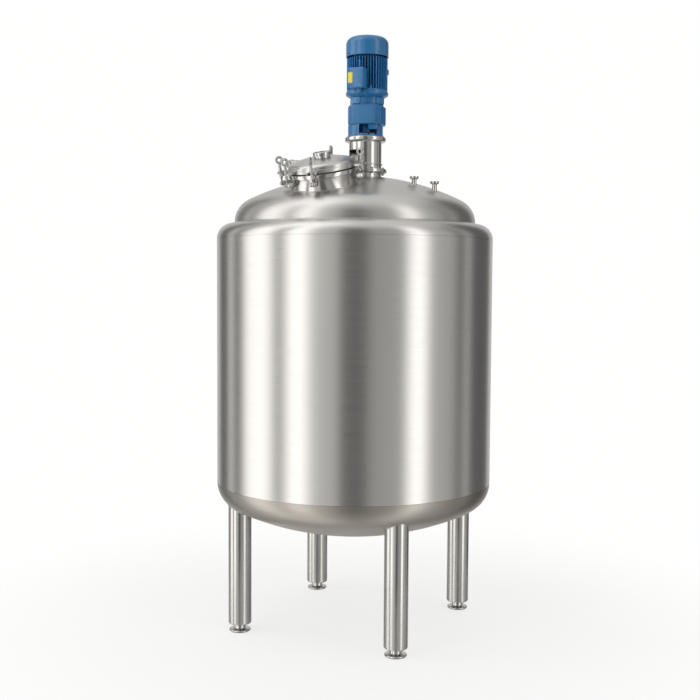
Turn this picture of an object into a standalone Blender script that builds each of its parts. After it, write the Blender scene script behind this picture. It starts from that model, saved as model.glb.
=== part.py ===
"""Jacketed stainless steel mixing tank on four legs, in metres with +Z up.

The origin is on the floor under the middle of the tank, and -Y is the front.
The manway leans on the domed top, so its pieces hang on an empty whose Z axis
is the manway's own axis. The agitator and its drive hang on an upright empty.
"""

import math

import bmesh
import bpy
from mathutils import Euler, Vector

# Gap between touching pieces, and how far fused pieces run into each other
GAP = 0.0003
BITE = 0.002

# Sides of the turned pieces: tank, manway and cowl, flanges and legs, small ones
LARGE_SIDES = 48
ROUND_SIDES = 36
MIDDLE_SIDES = 24
SMALL_SIDES = 12

# Insulated jacket
JACKET_RADIUS = 0.85
CLADDING = 0.004
JACKET_FOOT_Z = 0.894
JACKET_TOP_Z = 2.483
SHOULDER_RADIUS = 0.09
JACKET_DISH_CROWN = 1.75
JACKET_DISH_KNUCKLE = 0.165
WALL_SEGMENTS = 4

# Inner vessel
VESSEL_RADIUS = 0.7417
VESSEL_WALL = 0.006
VESSEL_CROWN = 1.486
VESSEL_KNUCKLE = 0.15
VESSEL_FOOT_Z = 0.961
HEAD_TANGENT_Z = 2.494
HEAD_SKIRT = 0.034

# Legs and feet
LEG_RADIUS = 0.06985
LEG_WALL = 0.004
LEG_CIRCLE = 0.731
LEG_ANGLES = (-70.2, 19.8, 109.8, 199.8)
LEG_FOOT_Z = 0.047
LEG_EDGE = 0.009
LEG_END_PLATE = 0.010
FOOT_PAD_RADIUS = 0.065
FOOT_STEM_RADIUS = 0.033
FOOT_PAD_HEIGHT = 0.015
FOOT_SOLE_HEIGHT = 0.006
FOOT_SOLE_EDGE = 0.005
FOOT_TOP_EDGE = 0.002
FOOT_STEM_FLARE = 0.003

# Manway: middle of the gasket, lean to the left and to the front
MANWAY_MIDDLE = (-0.1900, -0.4370, 2.7800)
MANWAY_LEAN_LEFT = 7.5
MANWAY_LEAN_FRONT = 13.0
NECK_RADIUS = 0.1925
NECK_BORE = 0.1875
NECK_LENGTH = 0.16
RIM_RADIUS = 0.200
RIM_HEIGHT = 0.020
NECK_RIM_HEIGHT = 0.023
GASKET_HEIGHT = 0.0064
GASKET_INSET = 0.003
COVER_RADIUS = 0.197
COVER_CROWN = 0.600
COVER_KNUCKLE = 0.030
COVER_RIM_WIDTH = 0.022

# Swing clamps on the manway
CLAMP_ANGLES = (76.0, 177.0, 213.0, 257.0, 341.0)
CLAMP_CIRCLE = 0.243
CLAMP_PIVOT_Z = -0.050
CLAMP_PIN_RADIUS = 0.006
CLAMP_PIN_GAP = 0.0004
CLAMP_EYE_RADIUS = 0.013
CLAMP_EYE_WIDTH = 0.014
CLAMP_EAR = 0.008
CLAMP_EAR_GAP = 0.015
SHANK_RADIUS = 0.006
SHANK_TOP = 0.109
NUT_FOOT = 0.030
NUT_FOOT_RADIUS = 0.0105
NUT_TOP = 0.116
NUT_TOP_RADIUS = 0.0085
NUT_CHAMFER = 0.003
NUT_CHAMFER_HEIGHT = 0.006
RING_MIDDLE = 0.1335
RING_RADIUS = 0.0175
RING_WIRE = 0.0055
FORK_REACH = 0.261
FORK_SLOT_START = 0.2065
FORK_SLOT = 0.040
FORK_CHEEK = 0.009
FORK_LOW_Z = 0.0060
FORK_HIGH_Z = 0.0190

# Cover hinge
HINGE_ANGLE = 130.0
HINGE_CIRCLE = 0.300
HINGE_Z = 0.035
HINGE_PIN_RADIUS = 0.008
HINGE_BORE = 0.0083
HINGE_EYE = 0.017
HINGE_ARM_WIDTH = 0.028
HINGE_EAR = 0.010
HINGE_SIDE_GAP = 0.001
HINGE_PIN_HALF = 0.034
HINGE_BORE_HALF = 0.050
HINGE_EAR_FOOT_Z = -0.066
HINGE_EAR_STEP = 0.006
HINGE_EAR_CLEAR = 0.010
HINGE_EAR_BACK = 0.050
HINGE_ARM_ROOT = 0.018
HINGE_ARM_STEP = 0.030
HINGE_ARM_DROP = 0.004

# Sight port, a little off the middle of the cover
SIGHT_X = 0.010
SIGHT_Y = -0.040
SIGHT_RADIUS = 0.044
SIGHT_BORE = 0.039
SIGHT_TOP_Z = 0.105
SIGHT_FLANGE_RADIUS = 0.0520
SIGHT_FLANGE_HEIGHT = 0.020
SIGHT_GLASS_RADIUS = 0.045
SIGHT_GLASS_HEIGHT = 0.008
SIGHT_GLASS_DROP = 0.001

# Small capped nozzles on the right of the dome, as (x, y, top z)
SMALL_NOZZLES = ((0.3475, -0.325, 2.754), (0.468, -0.320, 2.726))
SMALL_NOZZLE_RADIUS = 0.014
SMALL_FLANGE_RADIUS = 0.0265
SMALL_FLANGE_HEIGHT = 0.012
SMALL_FLANGE_CONE = 0.004
SMALL_FLANGE_EDGE = 0.002

# Bottom outlet
OUTLET_RADIUS = 0.0255
OUTLET_BORE = 0.0225
OUTLET_TOP_Z = 0.679
OUTLET_FOOT_Z = 0.533
OUTLET_FLANGE_RADIUS = 0.032
OUTLET_FLANGE_HEIGHT = 0.0085
OUTLET_FLANGE_CONE = 0.003

# Agitator axis, its nozzle and its lantern
AGITATOR_X = 0.060
AGITATOR_Y = -0.200
LANTERN_RADIUS = 0.097
LANTERN_WALL = 0.006
NOZZLE_RADIUS = 0.095
NOZZLE_BORE = 0.089
NOZZLE_FLANGE_Z = 2.784
FLANGE_RADIUS = 0.128
FLANGE_HEIGHT = 0.009
LANTERN_RING_Z = 2.8266
LANTERN_RING_HEIGHT = 0.011
LANTERN_RING_RADIUS = 0.102
LANTERN_TOP_Z = 2.994
LANTERN_TOP_FLANGE = 0.028
LANTERN_TOP_RADIUS = 0.1225
LANTERN_LID = 0.008
WINDOW_LOW_Z = 2.850
WINDOW_HIGH_Z = 2.917
WINDOW_WIDTH = 0.120
WINDOW_REACH = 0.3
WINDOW_TURN = -145.0
SEAL_RADIUS = 0.056
SEAL_TOP_Z = 2.885
SEAL_FLANGE = 0.014
SEAL_NECK = 0.012
SEAL_CONE = 0.004

# Gearbox
DRIVE_TURN = -15.0
DRIVE_OFFSET = 0.008
GEAR_BASE_RADIUS = 0.105
GEAR_BASE_WALL = 0.014
GEAR_BASE_TOP_Z = 3.064
GEAR_BASE_PLATE = 0.008
GEAR_BASE_LIP = 0.004
GEAR_WINDOW_WIDTH = 0.112
GEAR_WINDOW_TURN = -80.0
GEAR_TOP_Z = 3.178
GEAR_FRONT = 0.105
GEAR_SIDE = 0.100
GEAR_FRONT_HALF = 0.065
GEAR_SIDE_HALF = 0.055
GEAR_HUB_RADIUS = 0.045
GEAR_HUB_Z = 3.020
GEAR_RIBS = 4
GEAR_RIB_HALF = 0.004
GEAR_RIB_PITCH = 0.024
GEAR_RIB_DEPTH = 0.007
GEAR_RIB_END = 0.010
GEAR_STEP_TURN = 10.0
GEAR_STEP_WIDTH = 0.052
GEAR_STEP_FRONT = 0.100
GEAR_STEP_DEPTH = 0.040
GEAR_STEP_Z = 3.034

# Motor
ADAPTER_RADIUS = 0.0995
SHIELD_LOW_Z = 3.222
SHIELD_BEVEL_Z = 3.248
SHIELD_TOP_Z = 3.258
MOTOR_RADIUS = 0.127
FIN_RADIUS = 0.122
FIN_ROOT = 0.101
FIN_COUNT = 36
FIN_SHARE = 0.42
FIN_TOP_Z = 3.480
LUG_ANGLES = (-115.0, -25.0, 65.0, 155.0)
LUG_ROOT = 0.070
LUG_REACH = 0.108
LUG_HALF = 0.030
LUG_LOW_Z = 3.184
EYE_ANGLE = 20.0
EYE_REACH = 0.129
EYE_HALF = 0.010
EYE_LOW_Z = 3.366
EYE_HIGH_Z = 3.398
COWL_LOW_Z = 3.4655
COWL_TOP_Z = 3.583
COWL_WALL = 0.004
COWL_EDGE = 0.044
BOX_WIDTH = 0.103
BOX_LOW_Z = 3.262
BOX_HIGH_Z = 3.380
BOX_TURN = -23.5
BOX_DEPTH = 0.052
BOX_LID = 0.006
BOX_EDGE = 0.012
LID_INSET = 0.003
PLATE_WIDTH = 0.029
PLATE_HEIGHT = 0.060
PLATE_THICKNESS = 0.001
PLATE_INSET = 0.006
GLAND_RADIUS = 0.015
GLAND_LENGTH = 0.028
GLAND_NUT = 0.012
GLAND_BODY_RADIUS = 0.012
GLAND_X = 0.012

# Rotor
SHAFT_RADIUS = 0.025
SHAFT_BORE = 0.0257
SHAFT_FOOT_Z = 1.100
SHAFT_WAY = 0.035
IMPELLER_Z = 1.180
IMPELLER_RADIUS = 0.250
IMPELLER_HUB = 0.045
IMPELLER_HUB_HEIGHT = 0.110
BLADE_COUNT = 4
BLADE_WIDTH = 0.090
BLADE_THICKNESS = 0.008
BLADE_PITCH = 45.0

# Colour, roughness and metallic value of each finish
FINISHES = {
    "brushed_jacket": ((0.60, 0.59, 0.57), 0.32, 1.0),
    "satin_dome": ((0.57, 0.56, 0.54), 0.38, 1.0),
    "inner_steel": ((0.62, 0.61, 0.60), 0.25, 1.0),
    "leg_steel": ((0.58, 0.57, 0.55), 0.28, 1.0),
    "polished_steel": ((0.68, 0.67, 0.65), 0.15, 1.0),
    "blue_paint": ((0.03, 0.16, 0.40), 0.35, 0.0),
    "yellow_plate": ((0.85, 0.62, 0.04), 0.45, 0.0),
    "black_rubber": ((0.02, 0.02, 0.02), 0.70, 0.0),
    "sight_glass": ((0.75, 0.80, 0.80), 0.05, 0.0),
}


def clear_scene():
    """Remove every object of the start-up scene."""
    for item in list(bpy.data.objects):
        bpy.data.objects.remove(item, do_unlink=True)


def make_finishes():
    """One Principled material for each finish."""
    made = {}
    for name, (colour, roughness, metallic) in FINISHES.items():
        material = bpy.data.materials.new(name)
        material.use_nodes = True
        shader = material.node_tree.nodes["Principled BSDF"]
        shader.inputs["Base Color"].default_value = (*colour, 1.0)
        shader.inputs["Roughness"].default_value = roughness
        shader.inputs["Metallic"].default_value = metallic
        made[name] = material
    return made


def add_empty(name, location=(0, 0, 0), rotation=(0, 0, 0), parent=None):
    """Empty that carries pieces, with its origin on the axis that they share."""
    empty = bpy.data.objects.new(name, None)
    empty.location = location
    empty.rotation_euler = rotation
    empty.parent = parent
    bpy.context.scene.collection.objects.link(empty)
    return empty


def add_piece(name, shape, finish, parent=None, location=(0, 0, 0), turn=0.0):
    """Object made from a bmesh, smooth except at its hard edges."""
    bmesh.ops.recalc_face_normals(shape, faces=shape.faces)
    mesh = bpy.data.meshes.new(name)
    shape.to_mesh(mesh)
    shape.free()
    mesh.shade_smooth()
    mesh.set_sharp_from_angle(angle=math.radians(35))
    mesh.materials.append(bpy.data.materials[finish])
    piece = bpy.data.objects.new(name, mesh)
    piece.location = location
    piece.rotation_euler = (0, 0, math.radians(turn))
    piece.parent = parent
    bpy.context.scene.collection.objects.link(piece)
    return piece


def combine(piece, tool, operation):
    """Boolean of a piece with a helper, which is left out of the model itself."""
    tool.hide_render = True
    tool.display_type = "WIRE"
    step = piece.modifiers.new(tool.name, "BOOLEAN")
    step.operation = operation
    step.solver = "EXACT"
    step.use_self = operation == "UNION"
    step.object = tool
    return piece


def turned(outline, sides=LARGE_SIDES, start=0.0, sweep=360.0):
    """Bmesh turned about Z from (radius, height) points.

    An outline that starts and ends on the axis gives a solid, and any other
    outline is closed into a ring. A sweep under a full turn gives a segment.
    """
    shape = bmesh.new()
    angle = math.radians(start)
    verts = []
    for radius, height in outline:
        place = (radius * math.cos(angle), radius * math.sin(angle), height)
        verts.append(shape.verts.new(place))
    if sweep < 360.0:
        shape.faces.new(verts)
    else:
        for first, second in zip(verts, verts[1:]):
            shape.edges.new((first, second))
        if outline[0][0] > 0:
            shape.edges.new((verts[-1], verts[0]))
    bmesh.ops.spin(
        shape,
        geom=shape.verts[:] + shape.edges[:] + shape.faces[:],
        axis=(0, 0, 1),
        cent=(0, 0, 0),
        angle=math.radians(sweep),
        steps=sides,
        use_duplicate=False,
    )
    bmesh.ops.remove_doubles(shape, verts=shape.verts, dist=0.00002)
    return shape


def extruded(points, vector):
    """Bmesh of a flat polygon moved along a vector."""
    shape = bmesh.new()
    face = shape.faces.new([shape.verts.new(point) for point in points])
    moved = bmesh.ops.extrude_face_region(shape, geom=[face], use_keep_orig=True)
    verts = [item for item in moved["geom"] if isinstance(item, bmesh.types.BMVert)]
    bmesh.ops.translate(shape, verts=verts, vec=vector)
    return shape


def block(low, high):
    """Bmesh of a box between two corners."""
    corners = [
        (low[0], low[1], low[2]),
        (high[0], low[1], low[2]),
        (high[0], high[1], low[2]),
        (low[0], high[1], low[2]),
    ]
    return extruded(corners, (0, 0, high[2] - low[2]))


def rod(radius, low, high, sides=SMALL_SIDES):
    """Bmesh of an upright rod on the Z axis."""
    return turned([(0, low), (radius, low), (radius, high), (0, high)], sides)


def laid_along_y(shape):
    """Turn a bmesh so that its Z axis lies along Y."""
    turn = Euler((math.radians(90), 0, 0)).to_matrix()
    bmesh.ops.rotate(shape, verts=shape.verts, cent=(0, 0, 0), matrix=turn)
    return shape


def moved(shape, vector):
    """Move a whole bmesh."""
    bmesh.ops.translate(shape, verts=shape.verts, vec=vector)
    return shape


def joined(shapes):
    """One bmesh that holds several."""
    whole = bmesh.new()
    for shape in shapes:
        mesh = bpy.data.meshes.new("joined")
        shape.to_mesh(mesh)
        shape.free()
        whole.from_mesh(mesh)
        bpy.data.meshes.remove(mesh)
    return whole


def plate(points, low_y, high_y):
    """Bmesh of a plate that stands in the XZ plane, between two Y values."""
    corners = [(x, low_y, z) for x, z in points]
    return extruded(corners, (0, high_y - low_y, 0))


def arc(centre_x, centre_z, radius, first, last, steps):
    """Points along an arc in the XZ plane, by angles in degrees."""
    points = []
    for step in range(steps + 1):
        angle = math.radians(first + (last - first) * step / steps)
        points.append(
            (centre_x + radius * math.cos(angle), centre_z + radius * math.sin(angle))
        )
    return points


def dish(radius, crown, knuckle, crown_steps=5, knuckle_steps=3):
    """Points of a dished end above its rim plane, from its middle to its rim."""
    lean = math.asin((radius - knuckle) / (crown - knuckle))
    centre = -math.sqrt((crown - knuckle) ** 2 - (radius - knuckle) ** 2)
    points = []
    for step in range(crown_steps):
        angle = lean * step / crown_steps
        points.append((crown * math.sin(angle), centre + crown * math.cos(angle)))
    for step in range(knuckle_steps + 1):
        angle = lean + (math.pi / 2 - lean) * step / knuckle_steps
        points.append(
            (radius - knuckle + knuckle * math.sin(angle), knuckle * math.cos(angle))
        )
    return points


def head_line(offset=0.0):
    """Outer line of the domed top, moved outwards by an offset."""
    line = dish(VESSEL_RADIUS + offset, VESSEL_CROWN + offset, VESSEL_KNUCKLE + offset)
    return [(radius, HEAD_TANGENT_Z + height) for radius, height in line]


def jacket_dish_line(offset=0.0):
    """Outer line of the dished jacket bottom, moved outwards by an offset."""
    line = dish(
        JACKET_RADIUS + offset,
        JACKET_DISH_CROWN + offset,
        JACKET_DISH_KNUCKLE + offset,
    )
    return [(radius, JACKET_FOOT_Z - height) for radius, height in line]


def vessel_dish_line(offset=0.0):
    """Outer line of the vessel's dished bottom, moved outwards by an offset."""
    line = dish(
        VESSEL_RADIUS + offset, VESSEL_CROWN + offset, VESSEL_KNUCKLE + offset, 4, 3
    )
    return [(radius, VESSEL_FOOT_Z - height) for radius, height in line]


def head_solid(name):
    """Helper that fills the domed top, one gap proud of it."""
    line = head_line(GAP)
    low = HEAD_TANGENT_Z - HEAD_SKIRT
    shape = turned([*line, (line[-1][0], low), (0, low)])
    return add_piece(name, shape, "satin_dome")


def round_cutter(name, radius, low, high, parent=None, location=(0, 0, 0)):
    """Upright round helper that cuts a hole."""
    return add_piece(
        name,
        rod(radius, low, high, LARGE_SIDES),
        "polished_steel",
        parent=parent,
        location=location,
    )


def wall_segments(name, radius, wall, low, high, finish):
    """Round wall as equal segments with a gap between them."""
    sweep = 360.0 / WALL_SEGMENTS
    spare = math.degrees(GAP / radius)
    outline = [(radius - wall, low), (radius, low), (radius, high), (radius - wall, high)]
    sides = LARGE_SIDES // WALL_SEGMENTS
    for number in range(WALL_SEGMENTS):
        start = 45.0 + number * sweep + spare / 2
        shape = turned(outline, sides, start, sweep - spare)
        add_piece(f"{name}_{number + 1}", shape, finish)


def build_jacket():
    """Jacket wall, its rounded shoulder and its dished bottom."""
    shoulder_z = JACKET_TOP_Z - SHOULDER_RADIUS
    wall_segments(
        "jacket_wall",
        JACKET_RADIUS,
        CLADDING,
        JACKET_FOOT_Z + GAP,
        shoulder_z - GAP,
        "brushed_jacket",
    )
    middle = JACKET_RADIUS - SHOULDER_RADIUS
    outer = arc(middle, shoulder_z, SHOULDER_RADIUS, 0, 90, 4)
    inner = arc(middle, shoulder_z, SHOULDER_RADIUS - CLADDING, 90, 0, 4)
    seam = VESSEL_RADIUS + GAP
    outline = [
        *outer,
        (seam, JACKET_TOP_Z),
        (seam, JACKET_TOP_Z - CLADDING),
        *inner,
    ]
    add_piece("jacket_shoulder", turned(outline), "brushed_jacket")
    outline = [*jacket_dish_line(), *reversed(jacket_dish_line(-CLADDING))]
    bottom = add_piece("jacket_bottom", turned(outline), "brushed_jacket")
    hole = round_cutter(
        "outlet_hole_jacket", OUTLET_RADIUS + GAP, OUTLET_FOOT_Z, OUTLET_TOP_Z
    )
    combine(bottom, hole, "DIFFERENCE")


def build_vessel(manway):
    """Inner vessel: round wall, dished bottom and domed top."""
    low = HEAD_TANGENT_Z - HEAD_SKIRT
    wall_segments(
        "vessel_wall",
        VESSEL_RADIUS,
        VESSEL_WALL,
        VESSEL_FOOT_Z + GAP,
        low - GAP,
        "inner_steel",
    )
    outline = [*vessel_dish_line(), *reversed(vessel_dish_line(-VESSEL_WALL))]
    bottom = add_piece("vessel_bottom", turned(outline, ROUND_SIDES), "inner_steel")
    hole = round_cutter(
        "outlet_hole_vessel", OUTLET_RADIUS + GAP, OUTLET_FOOT_Z, OUTLET_TOP_Z + BITE
    )
    combine(bottom, hole, "DIFFERENCE")
    outline = [
        *head_line(),
        (VESSEL_RADIUS, low),
        (VESSEL_RADIUS - VESSEL_WALL, low),
        *reversed(head_line(-VESSEL_WALL)),
    ]
    top = add_piece("top_head", turned(outline), "satin_dome")
    mouth = round_cutter("manway_mouth", NECK_BORE, -2 * NECK_LENGTH, 0, manway)
    combine(top, mouth, "DIFFERENCE")
    bore = round_cutter(
        "agitator_mouth",
        NOZZLE_BORE,
        HEAD_TANGENT_Z,
        NOZZLE_FLANGE_Z,
        location=(AGITATOR_X, AGITATOR_Y, 0),
    )
    combine(top, bore, "DIFFERENCE")


def build_legs():
    """Four round legs cut to the dished bottom, each on a round foot."""
    top = JACKET_FOOT_Z
    inner = LEG_RADIUS - LEG_WALL
    edge = arc(LEG_RADIUS - LEG_EDGE, LEG_FOOT_Z + LEG_EDGE, LEG_EDGE, -90, 0, 3)
    floor = LEG_FOOT_Z + LEG_END_PLATE
    leg_outline = [
        (0, LEG_FOOT_Z),
        *edge,
        (LEG_RADIUS, top),
        (inner, top),
        (inner, floor),
        (0, floor),
    ]
    stem_top = LEG_FOOT_Z - GAP
    foot_outline = [
        (0, 0),
        (FOOT_PAD_RADIUS - FOOT_SOLE_EDGE, 0),
        (FOOT_PAD_RADIUS, FOOT_SOLE_HEIGHT),
        (FOOT_PAD_RADIUS - FOOT_TOP_EDGE, FOOT_PAD_HEIGHT),
        (FOOT_STEM_RADIUS + FOOT_STEM_FLARE, FOOT_PAD_HEIGHT + GAP),
        (FOOT_STEM_RADIUS, stem_top),
        (0, stem_top),
    ]
    line = jacket_dish_line(GAP)
    filler = turned([*line, (line[-1][0], JACKET_TOP_Z), (0, JACKET_TOP_Z)])
    cutter = add_piece("dish_above_legs", filler, "brushed_jacket")
    for number, angle in enumerate(LEG_ANGLES, 1):
        turn = math.radians(angle)
        place = (LEG_CIRCLE * math.cos(turn), LEG_CIRCLE * math.sin(turn), 0)
        shape = turned(leg_outline, MIDDLE_SIDES)
        leg = add_piece(f"leg_{number}", shape, "leg_steel", location=place)
        combine(leg, cutter, "DIFFERENCE")
        shape = turned(foot_outline, MIDDLE_SIDES)
        add_piece(f"foot_{number}", shape, "polished_steel", location=place)


def clamp_ears():
    """Two ears and the pin between them, at the foot of one swing clamp."""
    height = 2 * CLAMP_EYE_RADIUS
    low = CLAMP_PIVOT_Z - CLAMP_EYE_RADIUS
    root = NECK_BORE + BITE
    outline = [
        (root, low),
        *arc(CLAMP_CIRCLE, CLAMP_PIVOT_Z, CLAMP_EYE_RADIUS, -90, 90, 6),
        (root, low + height),
    ]
    inside = CLAMP_EAR_GAP / 2
    outside = inside + CLAMP_EAR
    pin = laid_along_y(rod(CLAMP_PIN_RADIUS, -outside + BITE, outside - BITE))
    return [
        plate(outline, inside, outside),
        plate(outline, -outside, -inside),
        moved(pin, (CLAMP_CIRCLE, 0, CLAMP_PIVOT_Z)),
    ]


def hinge_ears():
    """Two bracket ears that carry the cover's hinge pin."""
    eye = arc(HINGE_CIRCLE, HINGE_Z, HINGE_EYE, 135, -60, 8)
    root = NECK_BORE + BITE
    outline = [
        (root, HINGE_EAR_FOOT_Z),
        (root, -NECK_RIM_HEIGHT - HINGE_EAR_STEP),
        (RIM_RADIUS + HINGE_EAR_CLEAR, -NECK_RIM_HEIGHT - HINGE_EAR_STEP),
        *eye,
        (HINGE_CIRCLE - HINGE_EAR_BACK, HINGE_EAR_FOOT_Z),
    ]
    inside = HINGE_ARM_WIDTH / 2 + HINGE_SIDE_GAP
    outside = inside + HINGE_EAR
    return [plate(outline, inside, outside), plate(outline, -outside, -inside)]


def turned_to(shapes, angle):
    """Shapes joined and turned about Z."""
    whole = joined(shapes)
    turn = Euler((0, 0, math.radians(angle))).to_matrix()
    bmesh.ops.rotate(whole, verts=whole.verts, cent=(0, 0, 0), matrix=turn)
    return whole


def build_manway_neck(manway):
    """Neck with its rim, the clamps' ears, the hinge bracket and the gasket."""
    rim_top = -GASKET_HEIGHT / 2 - GAP
    rim_low = rim_top - NECK_RIM_HEIGHT
    outline = [
        (NECK_BORE, -NECK_LENGTH),
        (NECK_RADIUS, -NECK_LENGTH),
        (NECK_RADIUS, rim_low),
        (RIM_RADIUS, rim_low),
        (RIM_RADIUS, rim_top),
        (NECK_BORE, rim_top),
    ]
    neck = add_piece("manway_neck", turned(outline, ROUND_SIDES), "polished_steel", manway)
    ears = [turned_to(clamp_ears(), angle) for angle in CLAMP_ANGLES]
    ears.append(turned_to(hinge_ears(), HINGE_ANGLE))
    combine(neck, add_piece("neck_ears", joined(ears), "polished_steel", manway), "UNION")
    combine(neck, head_solid("dome_under_manway"), "DIFFERENCE")
    bore = laid_along_y(rod(HINGE_BORE, -HINGE_BORE_HALF, HINGE_BORE_HALF, MIDDLE_SIDES))
    bore = turned_to([moved(bore, (HINGE_CIRCLE, 0, HINGE_Z))], HINGE_ANGLE)
    combine(neck, add_piece("hinge_bore", bore, "polished_steel", manway), "DIFFERENCE")
    half = GASKET_HEIGHT / 2
    outline = [
        (NECK_BORE, -half),
        (RIM_RADIUS - GASKET_INSET, -half),
        (RIM_RADIUS - GASKET_INSET, half),
        (NECK_BORE, half),
    ]
    add_piece("manway_gasket", turned(outline, ROUND_SIDES), "black_rubber", manway)


def cover_line(offset=0.0):
    """Outer line of the cover's dish, moved outwards by an offset."""
    line = dish(
        COVER_RADIUS + offset, COVER_CROWN + offset, COVER_KNUCKLE + offset, 4, 3
    )
    foot = GASKET_HEIGHT / 2 + GAP + RIM_HEIGHT
    return [(radius, foot + height) for radius, height in line]


def fork():
    """Two cheeks on the cover's rim that straddle one swing bolt."""
    half = FORK_SLOT / 2
    outside = half + FORK_CHEEK
    root = RIM_RADIUS - COVER_RIM_WIDTH / 2
    points = [
        (root, -outside),
        (FORK_REACH, -outside),
        (FORK_REACH, -half),
        (FORK_SLOT_START, -half),
        (FORK_SLOT_START, half),
        (FORK_REACH, half),
        (FORK_REACH, outside),
        (root, outside),
    ]
    corners = [(x, y, FORK_LOW_Z) for x, y in points]
    return extruded(corners, (0, 0, FORK_HIGH_Z - FORK_LOW_Z))


def build_cover(manway):
    """Dished manway cover with its forks and hinge arm, and the sight port."""
    turn = math.radians(HINGE_ANGLE)
    hinge_place = (HINGE_CIRCLE * math.cos(turn), HINGE_CIRCLE * math.sin(turn), HINGE_Z)
    hinge = add_empty("cover_hinge", hinge_place, parent=manway)
    home = tuple(-value for value in hinge_place)
    low = GASKET_HEIGHT / 2 + GAP
    high = low + RIM_HEIGHT
    inner_rim = RIM_RADIUS - COVER_RIM_WIDTH
    inner = dish(inner_rim, COVER_CROWN, COVER_KNUCKLE, 4, 3)
    outline = [*cover_line(), (RIM_RADIUS, high), (RIM_RADIUS, low), (inner_rim, low)]
    outline += [(radius, high + height) for radius, height in reversed(inner)]
    shape = turned(outline, ROUND_SIDES)
    cover = add_piece("manway_cover", shape, "satin_dome", hinge, home)
    forks = [turned_to([fork()], angle) for angle in CLAMP_ANGLES]
    tool = add_piece("cover_forks", joined(forks), "polished_steel", hinge, home)
    combine(cover, tool, "UNION")
    half = HINGE_ARM_WIDTH / 2
    outline = [
        (RIM_RADIUS - HINGE_ARM_ROOT, high - BITE),
        (RIM_RADIUS + HINGE_ARM_STEP, high - BITE),
        *arc(HINGE_CIRCLE, HINGE_Z, HINGE_EYE, -120, 110, 8),
        (RIM_RADIUS - HINGE_ARM_ROOT, HINGE_Z + HINGE_EYE - HINGE_ARM_DROP),
    ]
    arm = turned_to([plate(outline, -half, half)], HINGE_ANGLE)
    tool = add_piece("cover_arm", arm, "polished_steel", hinge, home)
    combine(cover, tool, "UNION")
    bore = laid_along_y(rod(HINGE_BORE, -HINGE_BORE_HALF, HINGE_BORE_HALF, MIDDLE_SIDES))
    bore = turned_to([bore], HINGE_ANGLE)
    tool = add_piece("arm_bore", bore, "polished_steel", hinge)
    combine(cover, tool, "DIFFERENCE")
    tool = build_sight_port(hinge, home)
    combine(cover, tool, "DIFFERENCE")
    pin = laid_along_y(rod(HINGE_PIN_RADIUS, -HINGE_PIN_HALF, HINGE_PIN_HALF, MIDDLE_SIDES))
    pin = turned_to([moved(pin, (HINGE_CIRCLE, 0, HINGE_Z))], HINGE_ANGLE)
    add_piece("hinge_pin", pin, "polished_steel", manway)


def build_sight_port(hinge, home):
    """Round port on the cover, with a glass set in its flange."""
    place = (home[0] + SIGHT_X, home[1] + SIGHT_Y, home[2])
    flange_low = SIGHT_TOP_Z - SIGHT_FLANGE_HEIGHT
    seat = SIGHT_TOP_Z - SIGHT_GLASS_HEIGHT - GAP
    outline = [
        (SIGHT_BORE, RIM_HEIGHT),
        (SIGHT_RADIUS, RIM_HEIGHT),
        (SIGHT_RADIUS, flange_low),
        (SIGHT_FLANGE_RADIUS, flange_low),
        (SIGHT_FLANGE_RADIUS, SIGHT_TOP_Z),
        (SIGHT_GLASS_RADIUS + GAP, SIGHT_TOP_Z),
        (SIGHT_GLASS_RADIUS + GAP, seat),
        (SIGHT_BORE, seat),
    ]
    shape = turned(outline, MIDDLE_SIDES)
    port = add_piece("sight_port", shape, "polished_steel", hinge, place)
    filler = turned([*cover_line(GAP), (COVER_RADIUS, 0), (0, 0)], ROUND_SIDES)
    tool = add_piece("cover_under_port", filler, "satin_dome", hinge, home)
    combine(port, tool, "DIFFERENCE")
    glass = rod(SIGHT_GLASS_RADIUS, seat + GAP, SIGHT_TOP_Z - SIGHT_GLASS_DROP, MIDDLE_SIDES)
    add_piece("sight_glass", glass, "sight_glass", hinge, place)
    return round_cutter("sight_hole", SIGHT_BORE, 0, SIGHT_TOP_Z, hinge, place)


def build_clamps(manway):
    """Swing bolts with ring nuts, each on an empty at its pivot."""
    bore = CLAMP_PIN_RADIUS + CLAMP_PIN_GAP
    half = CLAMP_EYE_WIDTH / 2
    eye_outline = [
        (bore, -half),
        (CLAMP_EYE_RADIUS, -half),
        (CLAMP_EYE_RADIUS, half),
        (bore, half),
    ]
    nut_bore = SHANK_RADIUS + GAP
    nut_outline = [
        (0, SHANK_TOP + GAP),
        (nut_bore, SHANK_TOP + GAP),
        (nut_bore, NUT_FOOT),
        (NUT_FOOT_RADIUS, NUT_FOOT),
        (NUT_TOP_RADIUS, NUT_TOP - NUT_CHAMFER_HEIGHT),
        (NUT_TOP_RADIUS - NUT_CHAMFER, NUT_TOP),
        (0, NUT_TOP),
    ]
    wire = arc(RING_RADIUS, 0, RING_WIRE, 0, 300, 5)
    for number, angle in enumerate(CLAMP_ANGLES, 1):
        turn = math.radians(angle)
        pivot = add_empty(
            f"clamp_pivot_{number}",
            (CLAMP_CIRCLE * math.cos(turn), CLAMP_CIRCLE * math.sin(turn), CLAMP_PIVOT_Z),
            (0, 0, turn),
            manway,
        )
        eye = laid_along_y(turned(eye_outline, SMALL_SIDES))
        bolt = add_piece(f"swing_bolt_{number}", eye, "polished_steel", pivot)
        start = CLAMP_EYE_RADIUS - BITE
        shank = rod(SHANK_RADIUS, start, SHANK_TOP)
        combine(bolt, add_piece(f"shank_{number}", shank, "polished_steel", pivot), "UNION")
        shape = turned(nut_outline, SMALL_SIDES)
        nut = add_piece(f"ring_nut_{number}", shape, "polished_steel", pivot)
        ring = moved(laid_along_y(turned(wire, SMALL_SIDES)), (0, 0, RING_MIDDLE))
        combine(nut, add_piece(f"ring_{number}", ring, "polished_steel", pivot), "UNION")


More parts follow.
